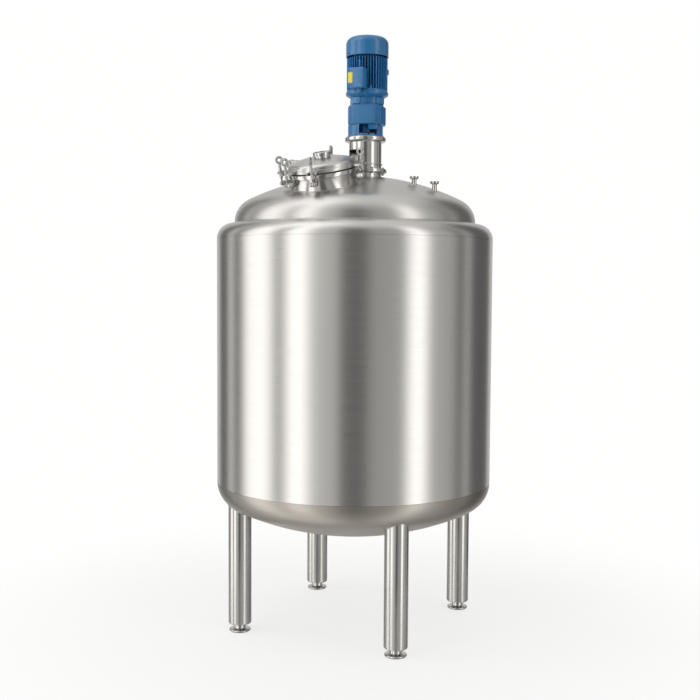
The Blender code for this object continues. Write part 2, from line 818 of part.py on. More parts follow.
def build_small_nozzles():
    """Two capped nozzles on the dome and the outlet under the tank."""
    for number, (x, y, top) in enumerate(SMALL_NOZZLES, 1):
        low = top - SMALL_FLANGE_HEIGHT
        outline = [
            (0, HEAD_TANGENT_Z),
            (SMALL_NOZZLE_RADIUS, HEAD_TANGENT_Z),
            (SMALL_NOZZLE_RADIUS, low - SMALL_FLANGE_CONE),
            (SMALL_FLANGE_RADIUS, low),
            (SMALL_FLANGE_RADIUS, top - SMALL_FLANGE_EDGE),
            (SMALL_FLANGE_RADIUS - SMALL_FLANGE_EDGE, top),
            (0, top),
        ]
        shape = turned(outline, SMALL_SIDES)
        name = f"small_nozzle_{number}"
        nozzle = add_piece(name, shape, "polished_steel", location=(x, y, 0))
        combine(nozzle, head_solid(f"dome_under_nozzle_{number}"), "DIFFERENCE")
    flange_top = OUTLET_FOOT_Z + OUTLET_FLANGE_HEIGHT
    outline = [
        (OUTLET_BORE, OUTLET_FOOT_Z),
        (OUTLET_FLANGE_RADIUS, OUTLET_FOOT_Z),
        (OUTLET_FLANGE_RADIUS, flange_top),
        (OUTLET_RADIUS, flange_top + OUTLET_FLANGE_CONE),
        (OUTLET_RADIUS, OUTLET_TOP_Z),
        (OUTLET_BORE, OUTLET_TOP_Z),
    ]
    add_piece("bottom_outlet", turned(outline, MIDDLE_SIDES), "polished_steel")


def build_lantern(agitator):
    """Agitator nozzle, its lantern with two windows, and the shaft seal."""
    flange_top = NOZZLE_FLANGE_Z + FLANGE_HEIGHT
    outline = [
        (NOZZLE_BORE, HEAD_TANGENT_Z),
        (NOZZLE_RADIUS, HEAD_TANGENT_Z),
        (NOZZLE_RADIUS, NOZZLE_FLANGE_Z),
        (FLANGE_RADIUS, NOZZLE_FLANGE_Z),
        (FLANGE_RADIUS, flange_top),
        (NOZZLE_BORE, flange_top),
    ]
    shape = turned(outline, MIDDLE_SIDES)
    nozzle = add_piece("agitator_nozzle", shape, "polished_steel", agitator)
    combine(nozzle, head_solid("dome_under_agitator"), "DIFFERENCE")
    low = flange_top + GAP
    ring_top = LANTERN_RING_Z + LANTERN_RING_HEIGHT
    inner = LANTERN_RADIUS - LANTERN_WALL
    flange_low = LANTERN_TOP_Z - LANTERN_TOP_FLANGE
    outline = [
        (SHAFT_WAY, low),
        (FLANGE_RADIUS, low),
        (FLANGE_RADIUS, low + FLANGE_HEIGHT),
        (LANTERN_RADIUS, low + FLANGE_HEIGHT),
        (LANTERN_RADIUS, LANTERN_RING_Z),
        (LANTERN_RING_RADIUS, LANTERN_RING_Z),
        (LANTERN_RING_RADIUS, ring_top),
        (LANTERN_RADIUS, ring_top),
        (LANTERN_RADIUS, flange_low),
        (LANTERN_TOP_RADIUS, flange_low),
        (LANTERN_TOP_RADIUS, LANTERN_TOP_Z),
        (SHAFT_WAY, LANTERN_TOP_Z),
        (SHAFT_WAY, flange_low + LANTERN_LID),
        (inner, flange_low + LANTERN_LID),
        (inner, low + FLANGE_HEIGHT),
        (SHAFT_WAY, low + FLANGE_HEIGHT),
    ]
    shape = turned(outline, MIDDLE_SIDES)
    lantern = add_piece("lantern", shape, "polished_steel", agitator)
    half = WINDOW_WIDTH / 2
    window = block(
        (-WINDOW_REACH, -half, WINDOW_LOW_Z), (WINDOW_REACH, half, WINDOW_HIGH_Z)
    )
    tool = add_piece("lantern_windows", window, "polished_steel", agitator, turn=WINDOW_TURN)
    combine(lantern, tool, "DIFFERENCE")
    foot = low + FLANGE_HEIGHT + GAP
    outline = [
        (SHAFT_BORE, foot),
        (SEAL_RADIUS, foot),
        (SEAL_RADIUS, foot + SEAL_FLANGE),
        (SEAL_RADIUS - SEAL_NECK, foot + SEAL_FLANGE + SEAL_CONE),
        (SEAL_RADIUS - SEAL_NECK, SEAL_TOP_Z),
        (SHAFT_BORE, SEAL_TOP_Z),
    ]
    add_piece("shaft_seal", turned(outline, MIDDLE_SIDES), "polished_steel", agitator)


def build_gearbox(agitator, drive):
    """Blue gearbox: base ring with two columns, and a housing with its hub."""
    low = LANTERN_TOP_Z + GAP
    top = GEAR_BASE_TOP_Z
    inner = GEAR_BASE_RADIUS - GEAR_BASE_WALL
    outline = [
        (inner, low),
        (GEAR_BASE_RADIUS + GEAR_BASE_LIP, low),
        (GEAR_BASE_RADIUS + GEAR_BASE_LIP, low + GEAR_BASE_PLATE),
        (GEAR_BASE_RADIUS, low + GEAR_BASE_PLATE),
        (GEAR_BASE_RADIUS, top),
        (inner, top),
    ]
    shape = turned(outline, MIDDLE_SIDES)
    base = add_piece("gearbox_base", shape, "blue_paint", agitator)
    half = GEAR_WINDOW_WIDTH / 2
    reach = 2 * GEAR_BASE_RADIUS
    window = block(
        (-reach, -half, low + GEAR_BASE_PLATE), (reach, half, top + BITE)
    )
    tool = add_piece("base_windows", window, "blue_paint", agitator, turn=GEAR_WINDOW_TURN)
    combine(base, tool, "DIFFERENCE")
    low = top + GAP
    corners = [
        (GEAR_FRONT_HALF, -GEAR_FRONT),
        (GEAR_SIDE, -GEAR_SIDE_HALF),
        (GEAR_SIDE, GEAR_SIDE_HALF),
        (GEAR_FRONT_HALF, GEAR_FRONT),
        (-GEAR_FRONT_HALF, GEAR_FRONT),
        (-GEAR_SIDE, GEAR_SIDE_HALF),
        (-GEAR_SIDE, -GEAR_SIDE_HALF),
        (-GEAR_FRONT_HALF, -GEAR_FRONT),
    ]
    shape = extruded([(x, y, low) for x, y in corners], (0, 0, GEAR_TOP_Z - low))
    housing = add_piece("gearbox_housing", shape, "blue_paint", drive, turn=DRIVE_TURN)
    ribs = housing_ribs(low)
    tool = add_piece("housing_ribs", ribs, "blue_paint", drive, turn=DRIVE_TURN)
    combine(housing, tool, "UNION")
    step = block(
        (0, -GEAR_STEP_FRONT, GEAR_STEP_Z),
        (GEAR_STEP_WIDTH, GEAR_STEP_DEPTH - GEAR_STEP_FRONT, low + BITE),
    )
    tool = add_piece("housing_step", step, "blue_paint", agitator, turn=GEAR_STEP_TURN)
    combine(housing, tool, "UNION")
    hub = rod(GEAR_HUB_RADIUS, GEAR_HUB_Z, low + BITE, MIDDLE_SIDES)
    combine(housing, add_piece("output_hub", hub, "blue_paint", agitator), "UNION")


def housing_ribs(low):
    """Ribs on both sides of the housing, which stay inside its corners."""
    ribs = []
    for side in (-1, 1):
        for number in range(GEAR_RIBS):
            middle = (number - (GEAR_RIBS - 1) / 2) * GEAR_RIB_PITCH
            inner = side * (GEAR_SIDE - BITE)
            outer = side * (GEAR_SIDE + GEAR_RIB_DEPTH)
            rib = block(
                (min(inner, outer), middle - GEAR_RIB_HALF, low + GEAR_RIB_END),
                (max(inner, outer), middle + GEAR_RIB_HALF, GEAR_TOP_Z - GEAR_RIB_END),
            )
            ribs.append(rib)
    return joined(ribs)


def fin_outline():
    """Corners of the finned motor frame, seen from above."""
    pitch = 2 * math.pi / FIN_COUNT
    half = pitch * FIN_SHARE / 2
    corners = []
    for number in range(FIN_COUNT):
        middle = number * pitch
        for radius, angle in (
            (FIN_ROOT, middle - half),
            (FIN_RADIUS, middle - half * FIN_ROOT / FIN_RADIUS),
            (FIN_RADIUS, middle + half * FIN_ROOT / FIN_RADIUS),
            (FIN_ROOT, middle + half),
        ):
            corners.append((radius * math.cos(angle), radius * math.sin(angle)))
    return corners


def motor_lugs():
    """Four lugs of the adapter, through which the motor is bolted down."""
    lugs = []
    for angle in LUG_ANGLES:
        lug = block(
            (LUG_ROOT, -LUG_HALF, LUG_LOW_Z), (LUG_REACH, LUG_HALF, SHIELD_LOW_Z - GAP)
        )
        lugs.append(turned_to([lug], angle))
    return joined(lugs)


def build_motor(drive):
    """Motor: adapter, end shield, finned frame and fan cowl."""
    low = GEAR_TOP_Z + GAP
    outline = [
        (0, low),
        (ADAPTER_RADIUS, low),
        (ADAPTER_RADIUS, SHIELD_LOW_Z - GAP),
        (0, SHIELD_LOW_Z - GAP),
    ]
    shape = turned(outline, MIDDLE_SIDES)
    adapter = add_piece("motor_adapter", shape, "blue_paint", drive)
    tool = add_piece("adapter_lugs", motor_lugs(), "blue_paint", drive, turn=DRIVE_TURN)
    combine(adapter, tool, "UNION")
    outline = [
        (0, SHIELD_LOW_Z),
        (ADAPTER_RADIUS, SHIELD_LOW_Z),
        (MOTOR_RADIUS, SHIELD_BEVEL_Z),
        (MOTOR_RADIUS, SHIELD_TOP_Z),
        (0, SHIELD_TOP_Z),
    ]
    shape = turned(outline, MIDDLE_SIDES)
    add_piece("motor_end_shield", shape, "blue_paint", drive)
    low = SHIELD_TOP_Z + GAP
    corners = [(x, y, low) for x, y in fin_outline()]
    shape = extruded(corners, (0, 0, FIN_TOP_Z - low))
    frame = add_piece("motor_frame", shape, "blue_paint", drive, turn=DRIVE_TURN)
    eye = block((FIN_ROOT - BITE, -EYE_HALF, EYE_LOW_Z), (EYE_REACH, EYE_HALF, EYE_HIGH_Z))
    eye = turned_to([eye], EYE_ANGLE)
    tool = add_piece("frame_eye", eye, "blue_paint", drive, turn=DRIVE_TURN)
    combine(frame, tool, "UNION")
    inner = MOTOR_RADIUS - COWL_WALL
    bend = MOTOR_RADIUS - COWL_EDGE
    bend_z = COWL_TOP_Z - COWL_EDGE
    outline = [
        (0, COWL_TOP_Z),
        *arc(bend, bend_z, COWL_EDGE, 90, 0, 4),
        (MOTOR_RADIUS, COWL_LOW_Z),
        (inner, COWL_LOW_Z),
        *arc(bend, bend_z, COWL_EDGE - COWL_WALL, 0, 90, 4),
        (0, COWL_TOP_Z - COWL_WALL),
    ]
    add_piece("motor_cowl", turned(outline, ROUND_SIDES), "blue_paint", drive)


def build_terminal_box(drive):
    """Terminal box on the motor's front, with its lid, plate and cable gland."""
    back = -FIN_RADIUS - GAP
    face = back - BOX_DEPTH
    half = BOX_WIDTH / 2
    shape = rounded_box(half, BOX_LOW_Z, BOX_HIGH_Z, BOX_EDGE, back, face)
    add_piece("terminal_box", shape, "blue_paint", drive, turn=BOX_TURN)
    lid_back = face - GAP
    lid_face = lid_back - BOX_LID
    shape = rounded_box(
        half - LID_INSET,
        BOX_LOW_Z + LID_INSET,
        BOX_HIGH_Z - LID_INSET,
        BOX_EDGE - LID_INSET,
        lid_back,
        lid_face,
    )
    add_piece("terminal_lid", shape, "blue_paint", drive, turn=BOX_TURN)
    middle_z = (BOX_LOW_Z + BOX_HIGH_Z) / 2
    left = -half + PLATE_INSET
    plate_back = lid_face - GAP
    shape = block(
        (left, plate_back - PLATE_THICKNESS, middle_z - PLATE_HEIGHT / 2),
        (left + PLATE_WIDTH, plate_back, middle_z + PLATE_HEIGHT / 2),
    )
    add_piece("blank_plate", shape, "yellow_plate", drive, turn=BOX_TURN)
    top = BOX_LOW_Z - GAP
    outline = [
        (0, top),
        (GLAND_RADIUS, top),
        (GLAND_RADIUS, top - GLAND_NUT),
        (GLAND_BODY_RADIUS, top - GLAND_NUT),
        (GLAND_BODY_RADIUS, top - GLAND_LENGTH),
        (0, top - GLAND_LENGTH),
    ]
    shape = moved(turned(outline, SMALL_SIDES), (GLAND_X, (back + face) / 2, 0))
    add_piece("cable_gland", shape, "blue_paint", drive, turn=BOX_TURN)


def rounded_box(half, low, high, edge, back, face):
    """Box with round upright corners seen from the front, between two Y values."""
    points = [
        *arc(half - edge, high - edge, edge, 0, 90, 3),
        *arc(-half + edge, high - edge, edge, 90, 180, 3),
        *arc(-half + edge, low + edge, edge, 180, 270, 3),
        *arc(half - edge, low + edge, edge, 270, 360, 3),
    ]
    return plate(points, face, back)


def build_rotor(agitator):
    """Agitator shaft and its impeller with pitched blades."""
    shaft = rod(SHAFT_RADIUS, SHAFT_FOOT_Z, GEAR_HUB_Z - GAP, MIDDLE_SIDES)
    add_piece("agitator_shaft", shaft, "polished_steel", agitator)
    half = IMPELLER_HUB_HEIGHT / 2
    outline = [
        (SHAFT_BORE, IMPELLER_Z - half),
        (IMPELLER_HUB, IMPELLER_Z - half),
        (IMPELLER_HUB, IMPELLER_Z + half),
        (SHAFT_BORE, IMPELLER_Z + half),
    ]
    impeller = add_piece(
        "impeller", turned(outline, MIDDLE_SIDES), "polished_steel", agitator
    )
    blades = []
    for number in range(BLADE_COUNT):
        blade = block(
            (IMPELLER_HUB - 2 * BITE, -BLADE_THICKNESS / 2, -BLADE_WIDTH / 2),
            (IMPELLER_RADIUS, BLADE_THICKNESS / 2, BLADE_WIDTH / 2),
        )
        pitch = Euler((math.radians(BLADE_PITCH), 0, 0)).to_matrix()
        bmesh.ops.rotate(blade, verts=blade.verts, cent=(0, 0, 0), matrix=pitch)
        moved(blade, (0, 0, IMPELLER_Z))
        blades.append(turned_to([blade], number * 360.0 / BLADE_COUNT))
    tool = add_piece("impeller_blades", joined(blades), "polished_steel", agitator)
    combine(impeller, tool, "UNION")


def main():
    """Build the whole tank."""
    clear_scene()
    make_finishes()
    lean_left = math.tan(math.radians(MANWAY_LEAN_LEFT))
    lean_front = math.tan(math.radians(MANWAY_LEAN_FRONT))
    axis = Vector((-lean_left, -lean_front, 1.0)).normalized()
    lean = Vector((0, 0, 1)).rotation_difference(axis).to_euler()
    manway = add_empty("manway_axis", MANWAY_MIDDLE, lean)
    agitator = add_empty("agitator_axis", (AGITATOR_X, AGITATOR_Y, 0))
    drive = add_empty("drive_axis", (AGITATOR_X + DRIVE_OFFSET, AGITATOR_Y, 0))
    build_jacket()
    build_vessel(manway)
    build_legs()
    build_manway_neck(manway)
    build_cover(manway)
    build_clamps(manway)
    build_small_nozzles()
    build_lantern(agitator)
    build_gearbox(agitator, drive)
    build_motor(drive)
    build_terminal_box(drive)
    build_rotor(agitator)


main()
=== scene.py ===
"""Finished surfaces of a jacketed mixing tank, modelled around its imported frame.

The file is laid out as a Blender add-on and is run as a script. Everything is
in metres with +Z up, and the origin is on the floor under the middle of the tank.
"""

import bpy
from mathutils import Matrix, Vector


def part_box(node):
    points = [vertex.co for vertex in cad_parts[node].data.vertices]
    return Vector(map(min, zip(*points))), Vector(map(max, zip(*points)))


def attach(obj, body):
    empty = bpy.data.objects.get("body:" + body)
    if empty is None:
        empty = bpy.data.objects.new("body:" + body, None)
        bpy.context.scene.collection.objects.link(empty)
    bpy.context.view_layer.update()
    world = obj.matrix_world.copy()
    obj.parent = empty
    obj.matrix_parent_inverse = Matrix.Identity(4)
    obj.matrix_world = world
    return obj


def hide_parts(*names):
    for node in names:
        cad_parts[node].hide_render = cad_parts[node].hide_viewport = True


bl_info = {
    "name": "Mixing Tank Surfaces", "version": (1, 0, 0), "blender": (4, 5, 0),
    "location": "3D View > Sidebar > Tank",
    "description": "Models the finished surfaces of a jacketed mixing tank",
    "category": "Object",
}

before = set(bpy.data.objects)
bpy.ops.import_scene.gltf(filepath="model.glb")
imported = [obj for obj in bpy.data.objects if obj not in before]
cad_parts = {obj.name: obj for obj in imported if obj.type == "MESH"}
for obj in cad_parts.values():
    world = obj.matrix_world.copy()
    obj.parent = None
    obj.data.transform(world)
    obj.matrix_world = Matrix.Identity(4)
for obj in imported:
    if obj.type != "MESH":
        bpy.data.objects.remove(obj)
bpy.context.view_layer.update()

import math

import bpy
from bpy.props import FloatProperty, FloatVectorProperty, IntProperty, PointerProperty
from mathutils import Matrix, Vector


def low(node):
    """Lowest corner of a CAD node."""
    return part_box(node)[0]


def high(node):
    """Highest corner of a CAD node."""
    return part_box(node)[1]


def move_by(x, y, z):
    """Matrix that moves."""
    return Matrix.Translation((x, y, z))


def turn_by(axis, degrees):
    """Matrix that turns about an axis."""
    return Matrix.Rotation(math.radians(degrees), 4, axis)


# Points closer than this are one point
MERGE = 0.00004

# Roundness of a weld bead
BEAD_SIDES = 3

# Body names of the frame
TANK = "tank"
COVER = "cover"
ROTOR = "rotor"

# Jacket, read from the frame
JACKET_RADIUS = high("jacket_shoulder").x
JACKET_TOP_Z = high("jacket_shoulder").z
WALL_TOP_Z = high("jacket_wall_1").z
WALL_LOW_Z = low("jacket_wall_1").z
SHOULDER_RADIUS = JACKET_TOP_Z - WALL_TOP_Z
CLADDING = 0.004
DISH_TOP_Z = high("jacket_bottom").z
JACKET_CROWN = 1.75
JACKET_KNUCKLE = 0.165

# Inner vessel
VESSEL_RADIUS = high("top_head").x
VESSEL_WALL = 0.006
VESSEL_CROWN = 1.486
VESSEL_KNUCKLE = 0.15
VESSEL_FOOT_Z = 0.961
HEAD_TANGENT_Z = 2.494
HEAD_FOOT_Z = low("top_head").z

# Legs and feet
LEG_NAMES = ("leg_1", "leg_2", "leg_3", "leg_4")
LEG_RADIUS = (high("leg_1").x - low("leg_1").x) / 2
LEG_WALL = 0.004
LEG_EDGE = 0.010
LEG_FOOT_Z = low("leg_1").z

# Gap between touching pieces
GAP = 0.0003

# Manway: the middle of its gasket and its lean
MANWAY_MIDDLE = (-0.1900, -0.4370, 2.7800)
LEAN_LEFT = math.radians(7.5)
LEAN_FRONT = math.radians(13.0)
NECK_RADIUS = 0.1925
NECK_BORE = 0.1875
NECK_LENGTH = 0.16
RIM_RADIUS = 0.200
RIM_HEIGHT = 0.020
NECK_RIM_HEIGHT = 0.023
GASKET_HEIGHT = 0.0064
COVER_RADIUS = 0.197
COVER_CROWN = 0.600
COVER_KNUCKLE = 0.030
COVER_RIM_WIDTH = 0.022
CLAMP_ANGLES = (76.0, 177.0, 213.0, 257.0, 341.0)
CLAMP_CIRCLE = 0.243
CLAMP_PIVOT_Z = -0.050
CLAMP_EYE_RADIUS = 0.013
FORK_REACH = 0.261
FORK_SLOT_START = 0.2065
FORK_SLOT = 0.040
FORK_CHEEK = 0.009
FORK_LOW_Z = 0.006
FORK_HIGH_Z = 0.019
HINGE_ANGLE = 130.0
HINGE_CIRCLE = 0.300
HINGE_Z = 0.035
HINGE_EYE = 0.017
HINGE_ARM_WIDTH = 0.028
HINGE_EAR = 0.010
HINGE_PIN_RADIUS = 0.008
HINGE_BORE = 0.0083

# Sight port, from the middle of the cover
SIGHT_X = 0.010
SIGHT_Y = -0.040
SIGHT_RADIUS = 0.044
SIGHT_BORE = 0.039
SIGHT_TOP_Z = 0.105
SIGHT_FLANGE_RADIUS = 0.0520
SIGHT_FLANGE_HEIGHT = 0.020
SIGHT_GLASS_RADIUS = 0.045
SIGHT_GLASS_HEIGHT = 0.008

# Swing bolts and their ring nuts, above the clamp's pivot
SHANK_RADIUS = 0.006
SHANK_TOP = 0.109
NUT_FOOT = 0.030
NUT_TOP = 0.116
RING_MIDDLE = 0.1335
RING_RADIUS = 0.0165
RING_WIRE = 0.0074

# Agitator axis, and the drive that stands on it
NOZZLE_BORE = 0.089
NOZZLE_RADIUS = 0.095
SHAFT_BORE = 0.0257
AGITATOR_X = (low("agitator_nozzle").x + high("agitator_nozzle").x) / 2
AGITATOR_Y = (low("agitator_nozzle").y + high("agitator_nozzle").y) / 2
DRIVE_OFFSET = 0.008
DRIVE_TURN = -15.0
BOX_TURN = -23.5


def leaning_frame():
    """Matrix of the manway's own frame, whose Z axis is the manway's axis."""
    axis = Vector((-math.tan(LEAN_LEFT), -math.tan(LEAN_FRONT), 1.0)).normalized()
    turn = Vector((0, 0, 1)).rotation_difference(axis).to_matrix().to_4x4()
    return Matrix.Translation(MANWAY_MIDDLE) @ turn


MANWAY = leaning_frame()
AGITATOR = move_by(AGITATOR_X, AGITATOR_Y, 0)
DRIVE_AXIS = move_by(AGITATOR_X + DRIVE_OFFSET, AGITATOR_Y, 0)
DRIVE = DRIVE_AXIS @ turn_by("Z", DRIVE_TURN)
BOX = DRIVE_AXIS @ turn_by("Z", BOX_TURN)


# Selecting and finishing


def deselect_all():
    """Leave edit mode and select nothing."""
    if bpy.context.object and bpy.context.mode != "OBJECT":
        bpy.ops.object.mode_set(mode="OBJECT")
    bpy.ops.object.select_all(action="DESELECT")


def pick(piece):
    """Select one piece alone and make it active."""
    deselect_all()
    piece.select_set(True)
    bpy.context.view_layer.objects.active = piece
    return piece


def named(name):
    """Give the active object and its mesh a name."""
    piece = bpy.context.object
    piece.name = name
    piece.data.name = name
    return piece


def edit(piece):
    """Open a piece in edit mode with nothing selected."""
    pick(piece)
    bpy.ops.object.mode_set(mode="EDIT")
    bpy.ops.mesh.select_mode(type="FACE")
    bpy.ops.mesh.select_all(action="DESELECT")


def leave_edit():
    """Go back to object mode."""
    bpy.ops.object.mode_set(mode="OBJECT")


def tidy_mesh():
    """In edit mode, merge doubled points and turn every face outwards."""
    bpy.ops.mesh.select_all(action="SELECT")
    bpy.ops.mesh.remove_doubles(threshold=MERGE)
    bpy.ops.mesh.normals_make_consistent(inside=False)


def apply_modifier(piece, kind, **settings):
    """Add a modifier with its settings and apply it."""
    pick(piece)
    step = piece.modifiers.new(kind.title(), kind)
    for key, value in settings.items():
        setattr(step, key, value)
    bpy.ops.object.modifier_apply(modifier=step.name)
    return piece


def rounded(piece, width, segments=2, angle=30.0):
    """Round the hard edges of a piece."""
    return apply_modifier(
        piece, "BEVEL", width=width, segments=segments, limit_method="ANGLE",
        angle_limit=math.radians(angle),
    )


def smooth(piece, angle=40.0, even=False):
    """Shade a piece smooth except at its hard edges."""
    pick(piece)
    bpy.ops.object.shade_smooth_by_angle(angle=math.radians(angle))
    if even:
        apply_modifier(piece, "WEIGHTED_NORMAL", keep_sharp=True)
    return piece


def placed(piece, place):
    """Put a piece at a place and leave its object at the origin."""
    pick(piece)
    piece.matrix_world = place @ piece.matrix_world
    bpy.ops.object.transform_apply(location=True, rotation=True, scale=True)
    return piece


def cut(piece, tool, operation="DIFFERENCE"):
    """Boolean of a piece with a tool, which is then deleted."""
    apply_modifier(piece, "BOOLEAN", object=tool, operation=operation, solver="EXACT")
    bpy.data.objects.remove(tool, do_unlink=True)
    return piece


def joined(pieces, name):
    """Several meshes as one piece."""
    pick(pieces[0])
    for piece in pieces:
        piece.select_set(True)
    bpy.ops.object.join()
    return named(name)


def copied(piece, place):
    """Copy of a piece with its own mesh, moved by a matrix."""
    pick(piece)
    bpy.ops.object.duplicate(linked=False)
    return placed(bpy.context.object, place)


def copies_at(piece, places):
    """Copies of a piece at each place, joined, without the first one."""
    name = piece.name
    pieces = [copied(piece, place) for place in places]
    bpy.data.objects.remove(piece, do_unlink=True)
    return joined(pieces, name)


def around(piece, count, first=0.0):
    """Copies of a piece all round the Z axis, joined."""
    step = 360.0 / count
    places = [turn_by("Z", first + step * number) for number in range(count)]
    return copies_at(piece, places)


def finish(piece, material, replaces=(), body=TANK):
    """Give a piece its material and its body, and hide the frame parts that it stands for."""
    piece.data.materials.clear()
    piece.data.materials.append(bpy.data.materials[material])
    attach(piece, body)
    if replaces:
        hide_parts(*replaces)
    return piece


# Shapes


def outline_of(name, points):
    """Chain of edges extruded from a single point, left in edit mode."""
    deselect_all()
    bpy.ops.mesh.primitive_plane_add(size=0.02)
    piece = named(name)
    bpy.ops.object.mode_set(mode="EDIT")
    bpy.ops.mesh.select_mode(type="VERT")
    bpy.ops.mesh.select_all(action="SELECT")
    bpy.ops.mesh.merge(type="CENTER")
    bpy.ops.transform.translate(value=points[0])
    for first, second in zip(points, points[1:]):
        step = Vector(second) - Vector(first)
        bpy.ops.mesh.extrude_region_move(TRANSFORM_OT_translate={"value": step})
    return piece


def turned(name, outline, sides=96):
    """Solid turned about Z from (radius, height) points.

    An outline that starts and ends on the axis is left open there, and any
    other outline is closed into a ring.
    """
    points = [(radius, 0, height) for radius, height in outline]
    if outline[0][0] > 0:
        points.append(points[0])
    piece = outline_of(name, points)
    bpy.ops.mesh.select_all(action="SELECT")
    bpy.ops.mesh.spin(steps=sides, angle=2 * math.pi, center=(0, 0, 0), axis=(0, 0, 1))
    tidy_mesh()
    leave_edit()
    return piece


def plate(name, points, low_y, high_y):
    """Plate with an (x, z) outline that stands between two Y values."""
    corners = [(x, low_y, z) for x, z in points]
    return extruded(name, corners, (0, high_y - low_y, 0))


def slab(name, points, low_z, high_z):
    """Slab with an (x, y) outline that lies between two heights."""
    corners = [(x, y, low_z) for x, y in points]
    return extruded(name, corners, (0, 0, high_z - low_z))


def extruded(name, corners, way):
    """Flat outline filled and extruded along a vector."""
    piece = outline_of(name, [*corners, corners[0]])
    bpy.ops.mesh.select_all(action="SELECT")
    bpy.ops.mesh.remove_doubles(threshold=MERGE)
    bpy.ops.mesh.edge_face_add()
    bpy.ops.mesh.select_mode(type="FACE")
    bpy.ops.mesh.select_all(action="SELECT")
    bpy.ops.mesh.extrude_region_move(TRANSFORM_OT_translate={"value": way})
    tidy_mesh()
    leave_edit()
    return piece


def block(name, first, second):
    """Box between two corners."""
    deselect_all()
    bpy.ops.mesh.primitive_cube_add(size=1.0)
    piece = named(name)
    piece.location = (Vector(first) + Vector(second)) / 2
    piece.scale = [abs(b - a) for a, b in zip(first, second)]
    bpy.ops.object.transform_apply(location=True, rotation=True, scale=True)
    return piece


def rod(name, radius, low_z, high_z, sides=32):
    """Upright rod on the Z axis."""
    deselect_all()
    bpy.ops.mesh.primitive_cylinder_add(
        vertices=sides, radius=radius, depth=high_z - low_z,
        location=(0, 0, (low_z + high_z) / 2),
    )
    piece = named(name)
    bpy.ops.object.transform_apply(location=True, rotation=True, scale=True)
    return piece


def bead(name, points, radius):
    """Round bead along a closed path, such as a weld."""
    deselect_all()
    bpy.ops.curve.primitive_bezier_circle_add()
    path = bpy.context.object
    path.data.splines.clear()
    line = path.data.splines.new("POLY")
    line.points.add(len(points) - 1)
    for spot, point in zip(line.points, points):
        spot.co = (*point, 1.0)
    line.use_cyclic_u = True
    path.data.bevel_depth = radius
    path.data.bevel_resolution = BEAD_SIDES
    bpy.ops.object.convert(target="MESH")
    piece = named(name)
    edit(piece)
    tidy_mesh()
    leave_edit()
    return smooth(piece)


def arc(middle_x, middle_z, radius, first, last, steps):
    """Points along an arc, by angles in degrees."""
    points = []
    for step in range(steps + 1):
        angle = math.radians(first + (last - first) * step / steps)
        points.append(
            (middle_x + radius * math.cos(angle), middle_z + radius * math.sin(angle))
        )
    return points


def laid_along_y(piece):
    """Turn a piece so that its Z axis lies along Y."""
    return placed(piece, turn_by("X", 90))


def dish(radius, crown, knuckle, crown_steps=20, knuckle_steps=12):
    """Points of a dished end above its rim plane, from its middle to its rim."""
    lean = math.asin((radius - knuckle) / (crown - knuckle))
    middle = -math.sqrt((crown - knuckle) ** 2 - (radius - knuckle) ** 2)
    points = []
    for step in range(crown_steps):
        angle = lean * step / crown_steps
        points.append((crown * math.sin(angle), middle + crown * math.cos(angle)))
    for step in range(knuckle_steps + 1):
        angle = lean + (math.pi / 2 - lean) * step / knuckle_steps
        points.append(
            (radius - knuckle + knuckle * math.sin(angle), knuckle * math.cos(angle))
        )
    return points


def raised(line, height):
    """Outline of a dished end that stands on a height."""
    return [(radius, height + rise) for radius, rise in line]


def hung(line, height):
    """Outline of a dished end that hangs below a height."""
    return [(radius, height - rise) for radius, rise in line]


def dish_rise(spot, radius, crown, knuckle):
    """Height of a dished end above its rim plane, at a distance from its axis."""
    lean = math.asin((radius - knuckle) / (crown - knuckle))
    middle = -math.sqrt((crown - knuckle) ** 2 - (radius - knuckle) ** 2)
    spot = min(spot, radius)
    if spot < crown * math.sin(lean):
        return middle + math.sqrt(crown**2 - spot**2)
    return math.sqrt(max(knuckle**2 - (spot - radius + knuckle) ** 2, 0.0))


def dome_z(x, y):
    """Height of the domed top above a point of the floor."""
    rise = dish_rise(math.hypot(x, y), VESSEL_RADIUS, VESSEL_CROWN, VESSEL_KNUCKLE)
    return HEAD_TANGENT_Z + rise


def jacket_dish_z(x, y):
    """Height of the dished jacket bottom above a point of the floor."""
    rise = dish_rise(math.hypot(x, y), JACKET_RADIUS, JACKET_CROWN, JACKET_KNUCKLE)
    return DISH_TOP_Z - rise


def line_meets(start, way, height_at, reach):
    """Point where a line from start along way meets a surface, by halving."""
    near, far = 0.0, reach
    above = start.z > height_at(start.x, start.y)
    for _ in range(40):
        middle = (near + far) / 2
        point = start + way * middle
        if (point.z > height_at(point.x, point.y)) == above:
            near = middle
        else:
            far = middle
    return start + way * near


def seam_round(radius, place, height_at, start_z, reach, steps=96):
    """Points where a tube about the Z axis of a place meets a surface."""
    way = (place.to_3x3() @ Vector((0, 0, 1))).normalized() * math.copysign(1, reach)
    points = []
    for step in range(steps):
        angle = 2 * math.pi * step / steps
        start = place @ Vector((radius * math.cos(angle), radius * math.sin(angle), start_z))
        points.append(line_meets(start, way, height_at, abs(reach)))
    return points


def hex_bolt(name, across):
    """Hexagon bolt head with its washer, standing on z = 0."""
    base = across * 0.14
    deselect_all()
    bpy.ops.mesh.primitive_cylinder_add(
        vertices=6, radius=across / math.sqrt(3), depth=across * 0.62
    )
    head = named(name)
    head.location = (0, 0, base + across * 0.31)
    bpy.ops.object.transform_apply(location=True, rotation=True, scale=True)
    rounded(head, across * 0.06)
    ring = rod("washer", across * 0.95, 0, base, 24)
    rounded(ring, across * 0.03, 1)
    return smooth(joined([head, ring], name), 35)


